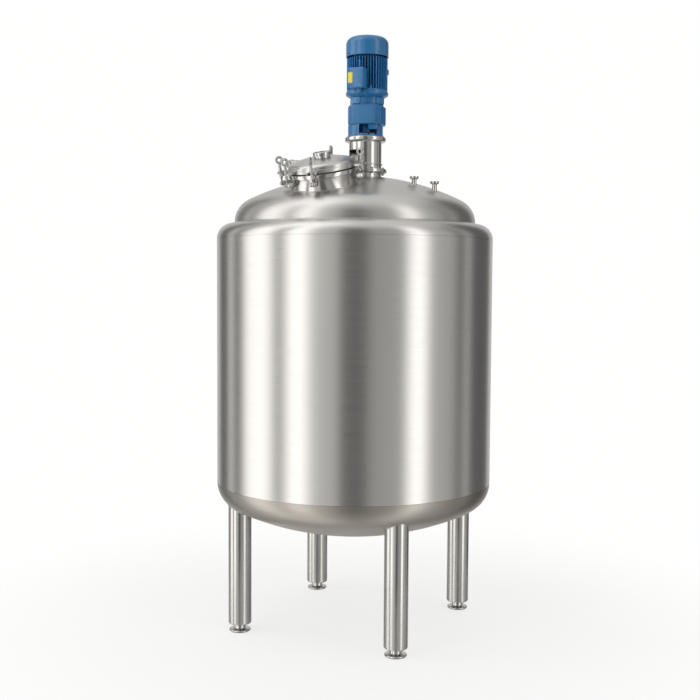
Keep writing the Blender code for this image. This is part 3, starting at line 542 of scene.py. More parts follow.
def socket_screw(name, radius, height):
    """Round screw head with a six-sided socket, standing on z = 0."""
    deselect_all()
    head = rod(name, radius, 0, height, 24)
    rounded(head, radius * 0.15)
    deselect_all()
    bpy.ops.mesh.primitive_cylinder_add(
        vertices=6, radius=radius * 0.55, depth=height, location=(0, 0, height)
    )
    socket = named("socket")
    bpy.ops.object.transform_apply(location=True, rotation=True, scale=True)
    return smooth(cut(head, socket), 35)


# Materials


MAP_ENDS = ("From Min", "From Max", "To Min", "To Max")


def preset(node, **values):
    """Set a node's inputs, each named by its label with underscores."""
    for target in node.inputs:
        key = target.name.lower().replace(" ", "_")
        if key in values:
            target.default_value = values.pop(key)
    if values:
        raise KeyError(f"{node.name} has no input {sorted(values)}")


class Shader:
    """Small builder of one material's nodes."""

    def __init__(self, name, colour, roughness, metallic=0.0):
        self.material = bpy.data.materials.new(name)
        self.material.use_nodes = True
        self.tree = self.material.node_tree
        self.surface = self.tree.nodes["Principled BSDF"]
        self.preset(base_color=(*colour, 1.0), roughness=roughness, metallic=metallic)

    def preset(self, **values):
        """Set inputs of the surface."""
        preset(self.surface, **values)

    def add(self, kind, **settings):
        """New node with its settings."""
        made = self.tree.nodes.new(kind)
        for key, value in settings.items():
            setattr(made, key, value)
        return made

    def link(self, output, target):
        """Link an output to an input."""
        self.tree.links.new(output, target)
        return target

    def stretched(self, scale):
        """Object coordinates, scaled."""
        place = self.add("ShaderNodeTexCoord")
        mapping = self.add("ShaderNodeMapping")
        preset(mapping, scale=scale)
        self.link(place.outputs["Object"], mapping.inputs["Vector"])
        return mapping.outputs["Vector"]

    def noise(self, scale, detail=3.0, roughness=0.5):
        """Noise between 0 and 1 on stretched object coordinates."""
        made = self.add("ShaderNodeTexNoise")
        preset(made, scale=1.0, detail=detail, roughness=roughness)
        self.link(self.stretched(scale), made.inputs["Vector"])
        return made.outputs["Fac"]

    def ranged(self, value, low_in, high_in, low_out, high_out):
        """Map a value from one range to another."""
        made = self.add("ShaderNodeMapRange")
        for label, number in zip(MAP_ENDS, (low_in, high_in, low_out, high_out)):
            made.inputs[label].default_value = number
        self.link(value, made.inputs["Value"])
        return made.outputs["Result"]

    def mixed(self, share, first, second):
        """Mix two colours or colour outputs by a share."""
        made = self.add("ShaderNodeMix", data_type="RGBA")
        self.link(share, made.inputs["Factor"])
        for value, target in ((first, made.inputs["A"]), (second, made.inputs["B"])):
            if isinstance(value, tuple):
                target.default_value = (*value, 1.0)
            else:
                self.link(value, target)
        return made.outputs["Result"]

    def bump(self, height, strength, distance, below=None):
        """Bump from a height, on top of another bump if one is given."""
        made = self.add("ShaderNodeBump")
        preset(made, strength=strength, distance=distance)
        self.link(height, made.inputs["Height"])
        if below:
            self.link(below, made.inputs["Normal"])
        return made.outputs["Normal"]

    def colour(self, value):
        """Link a colour to the surface."""
        self.link(value, self.surface.inputs["Base Color"])

    def rough(self, value):
        """Link a roughness to the surface."""
        self.link(value, self.surface.inputs["Roughness"])

    def normal(self, value):
        """Link a normal to the surface."""
        self.link(value, self.surface.inputs["Normal"])


def shade(colour, factor):
    """Colour made darker or lighter."""
    return tuple(min(channel * factor, 1.0) for channel in colour)


def brushed(name, colour, roughness, lines, spread=0.7):
    """Brushed steel whose fine lines follow the stretched coordinates."""
    steel = Shader(name, colour, roughness, 1.0)
    steel.preset(anisotropic=spread, anisotropic_rotation=0.25)
    fine = steel.noise(lines, 4.0, 0.6)
    broad = steel.noise((1.3, 1.3, 0.7), 2.0)
    tone = steel.mixed(broad, shade(colour, 0.94), shade(colour, 1.06))
    streak = steel.ranged(fine, 0.3, 0.7, 0.0, 0.10)
    steel.colour(steel.mixed(streak, tone, shade(colour, 0.8)))
    steel.rough(steel.ranged(fine, 0.3, 0.7, roughness - 0.03, roughness + 0.04))
    wavy = steel.bump(broad, 0.10, 0.004)
    steel.normal(steel.bump(fine, 0.02, 0.0005, wavy))


def spun(name, colour, roughness, middle=(0, 0)):
    """Steel finished on a turning table, with fine rings about an upright axis."""
    steel = Shader(name, colour, roughness, 1.0)
    steel.preset(anisotropic=0.5, anisotropic_rotation=0.25)
    place = steel.add("ShaderNodeTexCoord")
    flat = steel.add("ShaderNodeVectorMath", operation="MULTIPLY_ADD")
    flat.inputs[1].default_value = (1, 1, 0)
    flat.inputs[2].default_value = (-middle[0], -middle[1], 0)
    steel.link(place.outputs["Object"], flat.inputs[0])
    length = steel.add("ShaderNodeVectorMath", operation="LENGTH")
    steel.link(flat.outputs["Vector"], length.inputs[0])
    rings = steel.add("ShaderNodeTexNoise", noise_dimensions="1D")
    preset(rings, scale=160.0, detail=4.0)
    steel.link(length.outputs["Value"], rings.inputs["W"])
    broad = steel.noise((1.7, 1.7, 1.7), 3.0)
    steel.colour(steel.mixed(broad, shade(colour, 0.94), shade(colour, 1.05)))
    ring = rings.outputs["Fac"]
    steel.rough(steel.ranged(ring, 0.3, 0.7, roughness - 0.03, roughness + 0.03))
    wavy = steel.bump(broad, 0.15, 0.004)
    steel.normal(steel.bump(ring, 0.02, 0.0005, wavy))


def polished(name, colour, roughness, grain=60.0):
    """Bright machined steel with faint marks."""
    steel = Shader(name, colour, roughness, 1.0)
    marks = steel.noise((grain, grain, grain * 3), 4.0, 0.6)
    steel.colour(steel.mixed(marks, shade(colour, 0.90), shade(colour, 1.04)))
    steel.rough(steel.ranged(marks, 0.3, 0.7, roughness - 0.04, roughness + 0.07))
    steel.normal(steel.bump(marks, 0.03, 0.0004))


def welded(name, colour):
    """Weld metal: slightly yellowed, with ripples."""
    steel = Shader(name, colour, 0.38, 1.0)
    ripples = steel.noise((220, 220, 220), 2.0)
    heat = steel.noise((14, 14, 14), 2.0)
    steel.colour(steel.mixed(heat, shade(colour, 0.82), colour))
    steel.rough(steel.ranged(ripples, 0.3, 0.7, 0.30, 0.50))
    steel.normal(steel.bump(ripples, 0.25, 0.001))


def painted(name, colour, roughness, peel=0.05):
    """Sprayed paint over a casting, dulled in places, with a painted highlight that lightens
    its sharp edges.
    """
    paint = Shader(name, colour, roughness)
    patches = paint.noise((9, 9, 9), 4.0)
    tone = paint.mixed(patches, shade(colour, 0.86), shade(colour, 1.10))
    shape = paint.add("ShaderNodeNewGeometry")
    # Sharp edges are painted lighter: a painted highlight along the edges
    edges = paint.ranged(shape.outputs["Pointiness"], 0.53, 0.60, 0.0, 0.35)
    paint.colour(paint.mixed(edges, tone, shade(colour, 1.7)))
    paint.rough(paint.ranged(patches, 0.3, 0.7, roughness - 0.06, roughness + 0.08))
    skin = paint.noise((420, 420, 420), 2.0)
    casting = paint.bump(patches, 0.10, 0.002)
    paint.normal(paint.bump(skin, peel, 0.0006, casting))
    paint.preset(coat_weight=0.5, coat_roughness=0.10)


def moulded(name, colour, roughness, grain=900.0, depth=0.10):
    """Moulded rubber or plastic with a fine grain."""
    plastic = Shader(name, colour, roughness)
    grains = plastic.noise((grain, grain, grain), 2.0)
    patches = plastic.noise((25, 25, 25), 3.0)
    plastic.colour(plastic.mixed(patches, colour, shade(colour, 1.8)))
    plastic.rough(plastic.ranged(patches, 0.3, 0.7, roughness - 0.08, roughness + 0.08))
    plastic.normal(plastic.bump(grains, depth, 0.0004))


def clear_glass(name):
    """Thick clear glass with faint smears."""
    glass = Shader(name, (0.90, 0.95, 0.94), 0.03)
    glass.preset(transmission_weight=0.9, ior=1.5)
    smears = glass.noise((40, 40, 40), 4.0)
    glass.rough(glass.ranged(smears, 0.4, 0.8, 0.02, 0.14))


def make_materials(colours):
    """Every finish of the tank."""
    steel = tuple(colours.steel)
    bright = tuple(colours.bright_steel)
    brushed("jacket_brushed", steel, 0.30, (4, 4, 260))
    # A darker, warmer copy of the jacket steel for the dished bottom; the darkening is painted
    # shade on its downward-facing surface
    spun("jacket_spun", (steel[0] * 0.70, steel[1] * 0.67, steel[2] * 0.63), 0.38)
    spun("dome_satin", shade(steel, 0.97), 0.34)
    brushed("inner_wall", shade(steel, 1.02), 0.28, (5, 5, 200), 0.5)
    brushed("leg_brushed", shade(steel, 0.92), 0.22, (220, 220, 6), 0.4)
    brushed("neck_brushed", shade(bright, 0.95), 0.18, (6, 6, 300), 0.6)
    spun("cover_satin", shade(steel, 1.0), 0.32, MANWAY_MIDDLE[:2])
    polished("bright_polish", shade(bright, 0.95), 0.15)
    polished("cast_steel", shade(bright, 0.78), 0.27, 140.0)
    welded("weld_metal", shade(steel, 0.92))
    painted("gear_blue", tuple(colours.blue), 0.34)
    # A dark copy of the blue for the motor's core: painted shade deep between the fins
    painted("shaded_blue", shade(tuple(colours.blue), 0.30), 0.50)
    painted("plate_yellow", tuple(colours.yellow), 0.45, 0.02)
    moulded("soft_rubber", tuple(colours.black), 0.65)
    moulded("dark_plastic", shade(tuple(colours.black), 1.4), 0.42, 1400.0, 0.05)
    clear_glass("clear_glass")


# Stage


def world_value(tree, kind, first, second=None):
    """Maths node of the studio, whose inputs are outputs or numbers."""
    made = tree.nodes.new("ShaderNodeMath")
    made.operation = kind
    for value, target in zip((first, second), made.inputs):
        if value is None:
            continue
        if isinstance(value, (int, float)):
            target.default_value = value
        else:
            tree.links.new(value, target)
    return made.outputs["Value"]


def world_step(tree, value, start, end, level):
    """Smooth step of the studio, from nothing at start to a level at end."""
    made = tree.nodes.new("ShaderNodeMapRange")
    made.interpolation_type = "SMOOTHSTEP"
    for label, number in zip(MAP_ENDS, (start, end, 0.0, level)):
        made.inputs[label].default_value = number
    tree.links.new(value, made.inputs["Value"])
    return made.outputs["Result"]


# Soft panels that stand round the tank: azimuth in degrees to the right of the
# camera, half width, soft edge and brightness
PANELS = (
    (-122.0, 2.0, 6.0, 0.75), (-86.0, 9.0, 14.0, 1.72), (-48.0, 3.0, 14.0, 1.42),
    (-34.0, 20.0, 4.0, 0.55), (24.0, 9.0, 8.0, 0.32), (52.0, 3.0, 12.0, 1.65),
    (70.0, 16.0, 10.0, 0.42), (105.5, 2.0, 6.0, 0.45), (180.0, 28.0, 8.0, 0.55),
)
ROOM_LEVEL = 0.14
PANEL_TOP = (0.60, 0.92)
CEILING_LEVEL = 0.90


def build_world(settings):
    """Pale studio: soft panels round the tank under a soft ceiling."""
    world = bpy.data.worlds.new("studio")
    bpy.context.scene.world = world
    world.use_nodes = True
    tree = world.node_tree
    tree.nodes.clear()
    way = tree.nodes.new("ShaderNodeTexCoord").outputs["Generated"]
    split = tree.nodes.new("ShaderNodeSeparateXYZ")
    tree.links.new(way, split.inputs["Vector"])
    across, along, up = split.outputs
    away = world_value(tree, "MULTIPLY", along, -1.0)
    azimuth = world_value(tree, "ARCTAN2", across, away)
    level = None
    for middle, half, edge, bright in PANELS:
        turn = azimuth if middle < 180 else world_value(tree, "ABSOLUTE", azimuth)
        off = world_value(tree, "SUBTRACT", turn, math.radians(middle))
        off = world_value(tree, "ABSOLUTE", off)
        start = math.radians(half + edge)
        panel = world_step(tree, off, start, math.radians(half), bright)
        level = panel if level is None else world_value(tree, "ADD", level, panel)
    level = world_value(tree, "ADD", level, ROOM_LEVEL)
    height = world_step(tree, up, PANEL_TOP[0], PANEL_TOP[1], 1.0)
    blend = tree.nodes.new("ShaderNodeMix")
    tree.links.new(height, blend.inputs["Factor"])
    tree.links.new(level, blend.inputs["A"])
    blend.inputs["B"].default_value = CEILING_LEVEL
    studio = tree.nodes.new("ShaderNodeBackground")
    studio.inputs["Color"].default_value = (1.0, 0.985, 0.965, 1.0)
    bright = world_value(tree, "MULTIPLY", blend.outputs["Result"], settings.panels)
    tree.links.new(bright, studio.inputs["Strength"])
    paper = tree.nodes.new("ShaderNodeBackground")
    paper.inputs["Color"].default_value = (1.0, 1.0, 0.995, 1.0)
    paper.inputs["Strength"].default_value = settings.paper
    seen = tree.nodes.new("ShaderNodeLightPath").outputs["Is Camera Ray"]
    mix = tree.nodes.new("ShaderNodeMixShader")
    tree.links.new(seen, mix.inputs["Fac"])
    tree.links.new(studio.outputs["Background"], mix.inputs[1])
    tree.links.new(paper.outputs["Background"], mix.inputs[2])
    output = tree.nodes.new("ShaderNodeOutputWorld")
    tree.links.new(mix.outputs["Shader"], output.inputs["Surface"])


FLOOR_RADIUS = 3.4
FLOOR_FADE = (1.1, 3.1)
FLOOR_GLOW = 0.75
FLOOR_UNSEEN = 0.65


def build_floor(settings):
    """Pale paper floor that fades into the background away from the tank."""
    deselect_all()
    bpy.ops.mesh.primitive_circle_add(
        vertices=96, radius=FLOOR_RADIUS, fill_type="NGON", location=(0, 0, -0.0005)
    )
    floor = named("floor")
    bpy.ops.object.transform_apply(location=True, rotation=True, scale=True)
    paper = Shader("floor_paper", (0.93, 0.93, 0.925), 0.85)
    paper.surface.inputs["Specular IOR Level"].default_value = 0.1
    grain = paper.noise((3, 3, 3), 3.0)
    paper.colour(paper.mixed(grain, (0.92, 0.92, 0.915), (0.94, 0.94, 0.935)))
    glow = paper.add("ShaderNodeEmission")
    glow.inputs["Color"].default_value = (1.0, 1.0, 0.995, 1.0)
    glow.inputs["Strength"].default_value = settings.paper
    seen = paper.add("ShaderNodeLightPath").outputs["Is Camera Ray"]
    share = paper.add("ShaderNodeMath", operation="MULTIPLY")
    share.inputs[1].default_value = FLOOR_GLOW
    paper.link(seen, share.inputs[0])
    lit = paper.add("ShaderNodeMixShader")
    paper.link(share.outputs["Value"], lit.inputs["Fac"])
    paper.link(paper.surface.outputs["BSDF"], lit.inputs[1])
    paper.link(glow.outputs["Emission"], lit.inputs[2])
    away = paper.add("ShaderNodeVectorMath", operation="LENGTH")
    paper.link(paper.add("ShaderNodeTexCoord").outputs["Object"], away.inputs[0])
    fade = paper.add("ShaderNodeMapRange", interpolation_type="SMOOTHSTEP")
    fade.inputs["From Min"].default_value = FLOOR_FADE[0]
    fade.inputs["From Max"].default_value = FLOOR_FADE[1]
    paper.link(away.outputs["Value"], fade.inputs["Value"])
    unseen = paper.ranged(seen, 0.0, 1.0, FLOOR_UNSEEN, 0.0)
    clear = paper.add("ShaderNodeMath", operation="ADD", use_clamp=True)
    paper.link(fade.outputs["Result"], clear.inputs[0])
    paper.link(unseen, clear.inputs[1])
    faded = paper.add("ShaderNodeMixShader")
    paper.link(clear.outputs["Value"], faded.inputs["Fac"])
    paper.link(lit.outputs["Shader"], faded.inputs[1])
    paper.link(paper.add("ShaderNodeBsdfTransparent").outputs["BSDF"], faded.inputs[2])
    output = paper.tree.nodes["Material Output"]
    paper.link(faded.outputs["Shader"], output.inputs["Surface"])
    floor.data.materials.append(paper.material)


# The camera stands where the photograph was taken from
CAMERA_PLACE = (0.0, -6.774, 2.1395)
CAMERA_PITCH = math.radians(3.656)
CAMERA_YAW = math.radians(0.2174)
CAMERA_ROLL = math.radians(0.344)
CAMERA_LENS = 55.846
CAMERA_SENSOR = 36.0


def add_camera():
    """Camera at the photograph's viewing angle."""
    pitch, yaw = CAMERA_PITCH, CAMERA_YAW
    ahead = Vector(
        (-math.sin(yaw) * math.cos(pitch), math.cos(yaw) * math.cos(pitch), -math.sin(pitch))
    )
    side = ahead.cross(Vector((0, 0, 1))).normalized()
    up = side.cross(ahead)
    turn = Matrix((side, up, -ahead)).transposed().to_4x4()
    bpy.ops.object.camera_add()
    camera = bpy.context.object
    camera.name = "camera"
    camera.matrix_world = (
        Matrix.Translation(CAMERA_PLACE) @ turn @ Matrix.Rotation(CAMERA_ROLL, 4, "Z")
    )
    camera.data.sensor_width = CAMERA_SENSOR
    camera.data.lens = CAMERA_LENS
    bpy.context.scene.camera = camera


# Soft light above the tank, and the point that it shines at
KEY_PLACE = (-2.2, -1.6, 7.5)
KEY_SIZE = (3.5, 3.5)
LIGHT_AIM = (0, 0, 1.9)


def add_softbox(name, place, size, power):
    """Area light that shines at the middle of the tank."""
    bpy.ops.object.light_add(type="AREA", location=place)
    light = bpy.context.object
    light.name = name
    aim = Vector(LIGHT_AIM) - Vector(place)
    light.rotation_mode = "QUATERNION"
    light.rotation_quaternion = aim.to_track_quat("-Z", "Y")
    light.data.shape = "RECTANGLE"
    light.data.size, light.data.size_y = size
    light.data.energy = power
    light.visible_camera = False


def build_stage(settings):
    """Pale floor, soft light and the camera."""
    build_world(settings)
    build_floor(settings)
    add_softbox("key_light", KEY_PLACE, KEY_SIZE, settings.key)
    add_camera()
    view = bpy.context.scene.view_settings
    view.view_transform = "Standard"
    view.look = "None"


# Jacket


JACKET_SIDES = 192
VESSEL_SIDES = 128
NECK_SIDES = 144
EDGE_ROUND = 0.0022
WELD_RADIUS = 0.004


def build_jacket_wall():
    """Brushed jacket wall, rounded at its two seams."""
    inner = JACKET_RADIUS - CLADDING
    outline = [
        (inner, WALL_LOW_Z), (JACKET_RADIUS, WALL_LOW_Z), (JACKET_RADIUS, WALL_TOP_Z),
        (inner, WALL_TOP_Z),
    ]
    wall = turned("jacket_wall", outline, JACKET_SIDES)
    rounded(wall, EDGE_ROUND)
    smooth(wall, even=True)
    walls = [f"jacket_wall_{number}" for number in range(1, 5)]
    finish(wall, "jacket_brushed", walls)


def build_jacket_shoulder():
    """Rounded shoulder of the jacket, with its flat land up to the dome."""
    middle = JACKET_RADIUS - SHOULDER_RADIUS
    low_z = low("jacket_shoulder").z
    seam = VESSEL_RADIUS + GAP
    outline = [
        (JACKET_RADIUS, low_z), *arc(middle, WALL_TOP_Z, SHOULDER_RADIUS, 1, 90, 14),
        (seam, JACKET_TOP_Z), (seam, JACKET_TOP_Z - CLADDING),
        *arc(middle, WALL_TOP_Z, SHOULDER_RADIUS - CLADDING, 90, 1, 10),
        (JACKET_RADIUS - CLADDING, low_z),
    ]
    shoulder = turned("jacket_shoulder_skin", outline, JACKET_SIDES)
    finish(smooth(shoulder), "jacket_brushed", ["jacket_shoulder"])


def build_jacket_bottom():
    """Dished jacket bottom with the hole for the outlet."""
    line = dish(JACKET_RADIUS, JACKET_CROWN, JACKET_KNUCKLE)
    inside = dish(JACKET_RADIUS - CLADDING, JACKET_CROWN - CLADDING, JACKET_KNUCKLE - CLADDING)
    outline = hung(line, DISH_TOP_Z)
    outline += hung(reversed(inside), DISH_TOP_Z)
    bottom = turned("jacket_dish", outline, JACKET_SIDES)
    hole_radius = high("bottom_outlet").x * 0.8
    cut(bottom, rod("outlet_hole", hole_radius, 0.4, 0.8, 48))
    # Its darker steel is painted shade for the downward-facing underside
    finish(smooth(bottom), "jacket_spun", ["jacket_bottom"])


def build_jacket_welds():
    """Weld round the dome's foot, where the jacket is closed against it."""
    radius = VESSEL_RADIUS + 0.001
    points = ring_points(radius, JACKET_TOP_Z + 0.0005, 180)
    weld = bead("jacket_top_weld", points, WELD_RADIUS)
    finish(weld, "weld_metal")


def ring_points(radius, height, count):
    """Points of a level ring about Z."""
    points = []
    for number in range(count):
        angle = 2 * math.pi * number / count
        points.append((radius * math.cos(angle), radius * math.sin(angle), height))
    return points


# Vessel


def build_top_head():
    """Domed top with the mouths of the manway and the agitator nozzle."""
    line = dish(VESSEL_RADIUS, VESSEL_CROWN, VESSEL_KNUCKLE, 26, 16)
    inside = dish(
        VESSEL_RADIUS - VESSEL_WALL, VESSEL_CROWN - VESSEL_WALL,
        VESSEL_KNUCKLE - VESSEL_WALL, 16, 10,
    )
    outline = raised(line, HEAD_TANGENT_Z)
    outline += [(VESSEL_RADIUS, HEAD_FOOT_Z), (VESSEL_RADIUS - VESSEL_WALL, HEAD_FOOT_Z)]
    outline += raised(reversed(inside), HEAD_TANGENT_Z)
    dome = turned("dome", outline, JACKET_SIDES)
    mouth = placed(rod("mouth", NECK_BORE, -0.3, 0.0, 96), MANWAY)
    cut(dome, mouth)
    bore = placed(rod("bore", NOZZLE_BORE, HEAD_TANGENT_Z, 2.784, 72), AGITATOR)
    cut(dome, bore)
    finish(smooth(dome, 30), "dome_satin", ["top_head"])


def build_vessel_body():
    """Inner wall and dished bottom, seen through the open manway."""
    inner = VESSEL_RADIUS - VESSEL_WALL
    top = high("vessel_wall_1").z
    foot = low("vessel_wall_1").z
    outline = [(inner, foot), (VESSEL_RADIUS, foot), (VESSEL_RADIUS, top), (inner, top)]
    wall = turned("vessel_wall", outline, VESSEL_SIDES)
    smooth(wall)
    walls = [f"vessel_wall_{number}" for number in range(1, 5)]
    finish(wall, "inner_wall", walls)
    line = dish(VESSEL_RADIUS, VESSEL_CROWN, VESSEL_KNUCKLE, 12, 8)
    inside = dish(inner, VESSEL_CROWN - VESSEL_WALL, VESSEL_KNUCKLE - VESSEL_WALL, 12, 8)
    outline = hung(line, VESSEL_FOOT_Z)
    outline += hung(reversed(inside), VESSEL_FOOT_Z)
    bottom = turned("vessel_dish", outline, VESSEL_SIDES)
    cut(bottom, rod("outlet_hole", high("bottom_outlet").x * 0.8, 0.4, 0.8, 48))
    finish(smooth(bottom), "inner_wall", ["vessel_bottom"])


# Legs


def build_leg(name):
    """Brushed tube leg, cut to the dished bottom, with its weld."""
    corner = (low(name) + high(name)) / 2
    place = move_by(corner.x, corner.y, 0)
    inner = LEG_RADIUS - LEG_WALL
    floor = LEG_FOOT_Z + 0.010
    outline = [
        (0, LEG_FOOT_Z),
        *arc(LEG_RADIUS - LEG_EDGE, LEG_FOOT_Z + LEG_EDGE, LEG_EDGE, -90, 0, 6),
        (LEG_RADIUS, DISH_TOP_Z), (inner, DISH_TOP_Z), (inner, floor), (0, floor),
    ]
    leg = placed(turned(f"{name}_tube", outline, 72), place)
    line = dish(JACKET_RADIUS + GAP, JACKET_CROWN + GAP, JACKET_KNUCKLE + GAP)
    fill = hung(line, DISH_TOP_Z)
    fill += [(line[-1][0], DISH_TOP_Z + 0.2), (0, DISH_TOP_Z + 0.2)]
    cut(leg, turned("dish_fill", fill, JACKET_SIDES))
    finish(smooth(leg), "leg_brushed", [name])
    points = seam_round(LEG_RADIUS + 0.001, place, jacket_dish_z, 0.4, 0.6)
    weld = bead(f"{name}_weld", points, 0.0035)
    finish(weld, "weld_metal")


def build_foot(number):
    """Foot with its stem, its stepped pad and a rubber sole."""
    name = f"foot_{number}"
    corner = (low(name) + high(name)) / 2
    place = move_by(corner.x, corner.y, 0)
    pad = (high(name).x - low(name).x) / 2
    stem = 0.033
    top = high(name).z
    outline = [
        (0, 0.004), (pad - 0.002, 0.004), (pad, 0.006), (pad, 0.011), (pad - 0.003, 0.014),
        (stem + 0.006, 0.016), (stem + 0.001, 0.019), (stem, 0.022), (stem, top), (0, top),
    ]
    steel = placed(turned(f"{name}_steel", outline, 64), place)
    rounded(steel, 0.001)
    finish(smooth(steel), "bright_polish", [name])
    outline = [(0, 0), (pad - 0.006, 0), (pad - 0.003, 0.003), (pad - 0.003, 0.0042)]
    sole = placed(turned(f"{name}_sole", [*outline, (0, 0.0042)], 64), place)
    finish(smooth(sole), "soft_rubber")


# Manway


def dome_fill():
    """Solid that fills everything under the dome, for trimming pieces on it."""
    line = dish(VESSEL_RADIUS + GAP, VESSEL_CROWN + GAP, VESSEL_KNUCKLE + GAP, 26, 16)
    outline = raised(line, HEAD_TANGENT_Z)
    outline += [(line[-1][0], HEAD_FOOT_Z), (0, HEAD_FOOT_Z)]
    return turned("dome_fill", outline, JACKET_SIDES)


def on_dome(points, middle):
    """Points moved to a middle and set down on the dome."""
    spots = [(middle.x + x, middle.y + y) for x, y, _ in points]
    return [(x, y, dome_z(x, y)) for x, y in spots]


def at_angle(degrees):
    """Manway frame turned about its own axis."""
    return MANWAY @ turn_by("Z", degrees)


def build_neck(sizes):
    """Neck with its rolled rim, and the weld that joins it to the dome."""
    rim_top = -GASKET_HEIGHT / 2 - GAP
    rim_low = rim_top - NECK_RIM_HEIGHT
    outline = [
        (NECK_BORE, -NECK_LENGTH), (NECK_RADIUS, -NECK_LENGTH), (NECK_RADIUS, rim_low - 0.003),
        (NECK_RADIUS + 0.002, rim_low), (RIM_RADIUS - 0.001, rim_low),
        *arc(RIM_RADIUS - 0.002, rim_low + 0.002, 0.002, -90, 0, 4),
        *arc(RIM_RADIUS - 0.003, rim_top - 0.003, 0.003, 0, 90, 4), (NECK_BORE, rim_top),
    ]
    neck = placed(turned("neck_tube", outline, NECK_SIDES), MANWAY)
    cut(neck, dome_fill())
    finish(smooth(neck), "neck_brushed", ["manway_neck"])
    points = seam_round(NECK_RADIUS + 0.001, MANWAY, dome_z, -0.03, -0.2)
    weld = bead("neck_weld", points, sizes.weld)
    finish(weld, "weld_metal")


def build_clamp_ears():
    """Pairs of ears on the neck, with the pins that the clamps swing on."""
    root = NECK_RADIUS - 0.002
    low_z = CLAMP_PIVOT_Z - CLAMP_EYE_RADIUS
    eye = arc(CLAMP_CIRCLE, CLAMP_PIVOT_Z, CLAMP_EYE_RADIUS, -90, 90, 12)
    outline = [(root, low_z), *eye, (root, low_z + 2 * CLAMP_EYE_RADIUS)]
    ears = []
    for side in (-1, 1):
        first, second = sorted((side * 0.0075, side * 0.0155))
        ears.append(rounded(plate("ear", outline, first, second), 0.0012))
    ears = copies_at(joined(ears, "clamp_ears"), [at_angle(a) for a in CLAMP_ANGLES])
    finish(smooth(ears), "cast_steel")
    pin = rod("clamp_pins", 0.006, -0.0175, 0.0175, 32)
    heads = [rod("head", 0.0095, z, z + 0.004, 32) for z in (-0.0195, 0.0155)]
    for head in heads:
        rounded(head, 0.0012)
    pin = laid_along_y(joined([pin, *heads], "clamp_pins"))
    out = move_by(CLAMP_CIRCLE, 0, CLAMP_PIVOT_Z)
    pins = copies_at(pin, [at_angle(a) @ out for a in CLAMP_ANGLES])
    finish(smooth(pins), "bright_polish")


def build_hinge():
    """Hinge bracket behind the neck, and its pin with a head and a split pin."""
    root = NECK_RADIUS - 0.002
    step = -NECK_RIM_HEIGHT - 0.006
    outline = [
        (root, -0.066), (root, step), (RIM_RADIUS + 0.010, step),
        *arc(HINGE_CIRCLE, HINGE_Z, HINGE_EYE, 135, -60, 16), (HINGE_CIRCLE - 0.050, -0.066),
    ]
    inside = HINGE_ARM_WIDTH / 2 + 0.001
    ears = []
    for side in (-1, 1):
        first, second = sorted((side * inside, side * (inside + HINGE_EAR)))
        ears.append(rounded(plate("ear", outline, first, second), 0.0015))
    bore = laid_along_y(rod("bore", HINGE_BORE, -0.05, 0.05, 32))
    bore = placed(bore, move_by(HINGE_CIRCLE, 0, HINGE_Z))
    bracket = placed(cut(joined(ears, "hinge_bracket"), bore), at_angle(HINGE_ANGLE))
    finish(smooth(bracket), "cast_steel")
    pin = rounded(rod("pin", HINGE_PIN_RADIUS, -0.034, 0.034, 32), 0.0015)
    head = rounded(rod("head", 0.013, 0.0255, 0.031, 32), 0.0015)
    split = rod("split", 0.0012, -0.0115, 0.0115, 12)
    split = placed(laid_along_y(split), move_by(0, 0, -0.0300))
    pin = laid_along_y(joined([pin, head, split], "hinge_pin_bar"))
    out = move_by(HINGE_CIRCLE, 0, HINGE_Z)
    placed(pin, at_angle(HINGE_ANGLE) @ out)
    finish(smooth(pin), "bright_polish", ["hinge_pin"])


def build_gasket():
    """Rubber gasket between the neck and the cover."""
    half = GASKET_HEIGHT / 2
    outer = RIM_RADIUS - 0.003
    outline = [(NECK_BORE, -half), *arc(outer - half, 0, half, -90, 90, 8), (NECK_BORE, half)]
    gasket = placed(turned("gasket_ring", outline, NECK_SIDES), MANWAY)
    finish(smooth(gasket), "soft_rubber", ["manway_gasket"])


# Cover


COVER_FOOT = GASKET_HEIGHT / 2 + GAP
COVER_STEP = COVER_FOOT + RIM_HEIGHT


def cover_z(x, y):
    """Height of the cover's dish above a point of the manway's own plane."""
    rise = dish_rise(math.hypot(x, y), COVER_RADIUS, COVER_CROWN, COVER_KNUCKLE)
    return COVER_STEP + rise


def build_cover_dish(sizes):
    """Dished cover with its rim and the hole of the sight port."""
    line = dish(COVER_RADIUS, COVER_CROWN, COVER_KNUCKLE)
    inner_rim = RIM_RADIUS - COVER_RIM_WIDTH
    inside = dish(inner_rim, COVER_CROWN, COVER_KNUCKLE)
    outline = raised(line, COVER_STEP)
    outline += arc(RIM_RADIUS - 0.002, COVER_STEP - 0.002, 0.002, 90, 0, 4)
    outline += arc(RIM_RADIUS - 0.003, COVER_FOOT + 0.003, 0.003, 0, -90, 4)
    outline += [(inner_rim, COVER_FOOT)]
    outline += raised(reversed(inside), COVER_STEP)
    dish_piece = turned("cover_dish", outline, NECK_SIDES)
    hole = rod("hole", SIGHT_BORE, 0.02, 0.2, 64)
    cut(dish_piece, placed(hole, move_by(SIGHT_X, SIGHT_Y, 0)))
    placed(dish_piece, MANWAY)
    finish(smooth(dish_piece, 35), "cover_satin", ["manway_cover"], body=COVER)
    weld = bead("cover_rim_weld", ring_points(COVER_RADIUS, COVER_STEP, 144), 0.0016)
    finish(placed(weld, MANWAY), "weld_metal", body=COVER)
    place = move_by(SIGHT_X, SIGHT_Y, 0)
    points = seam_round(SIGHT_RADIUS + 0.0005, place, cover_z, 0.12, -0.1, 64)
    weld = placed(bead("sight_weld", points, sizes.weld * 0.6), MANWAY)
    finish(weld, "weld_metal", body=COVER)


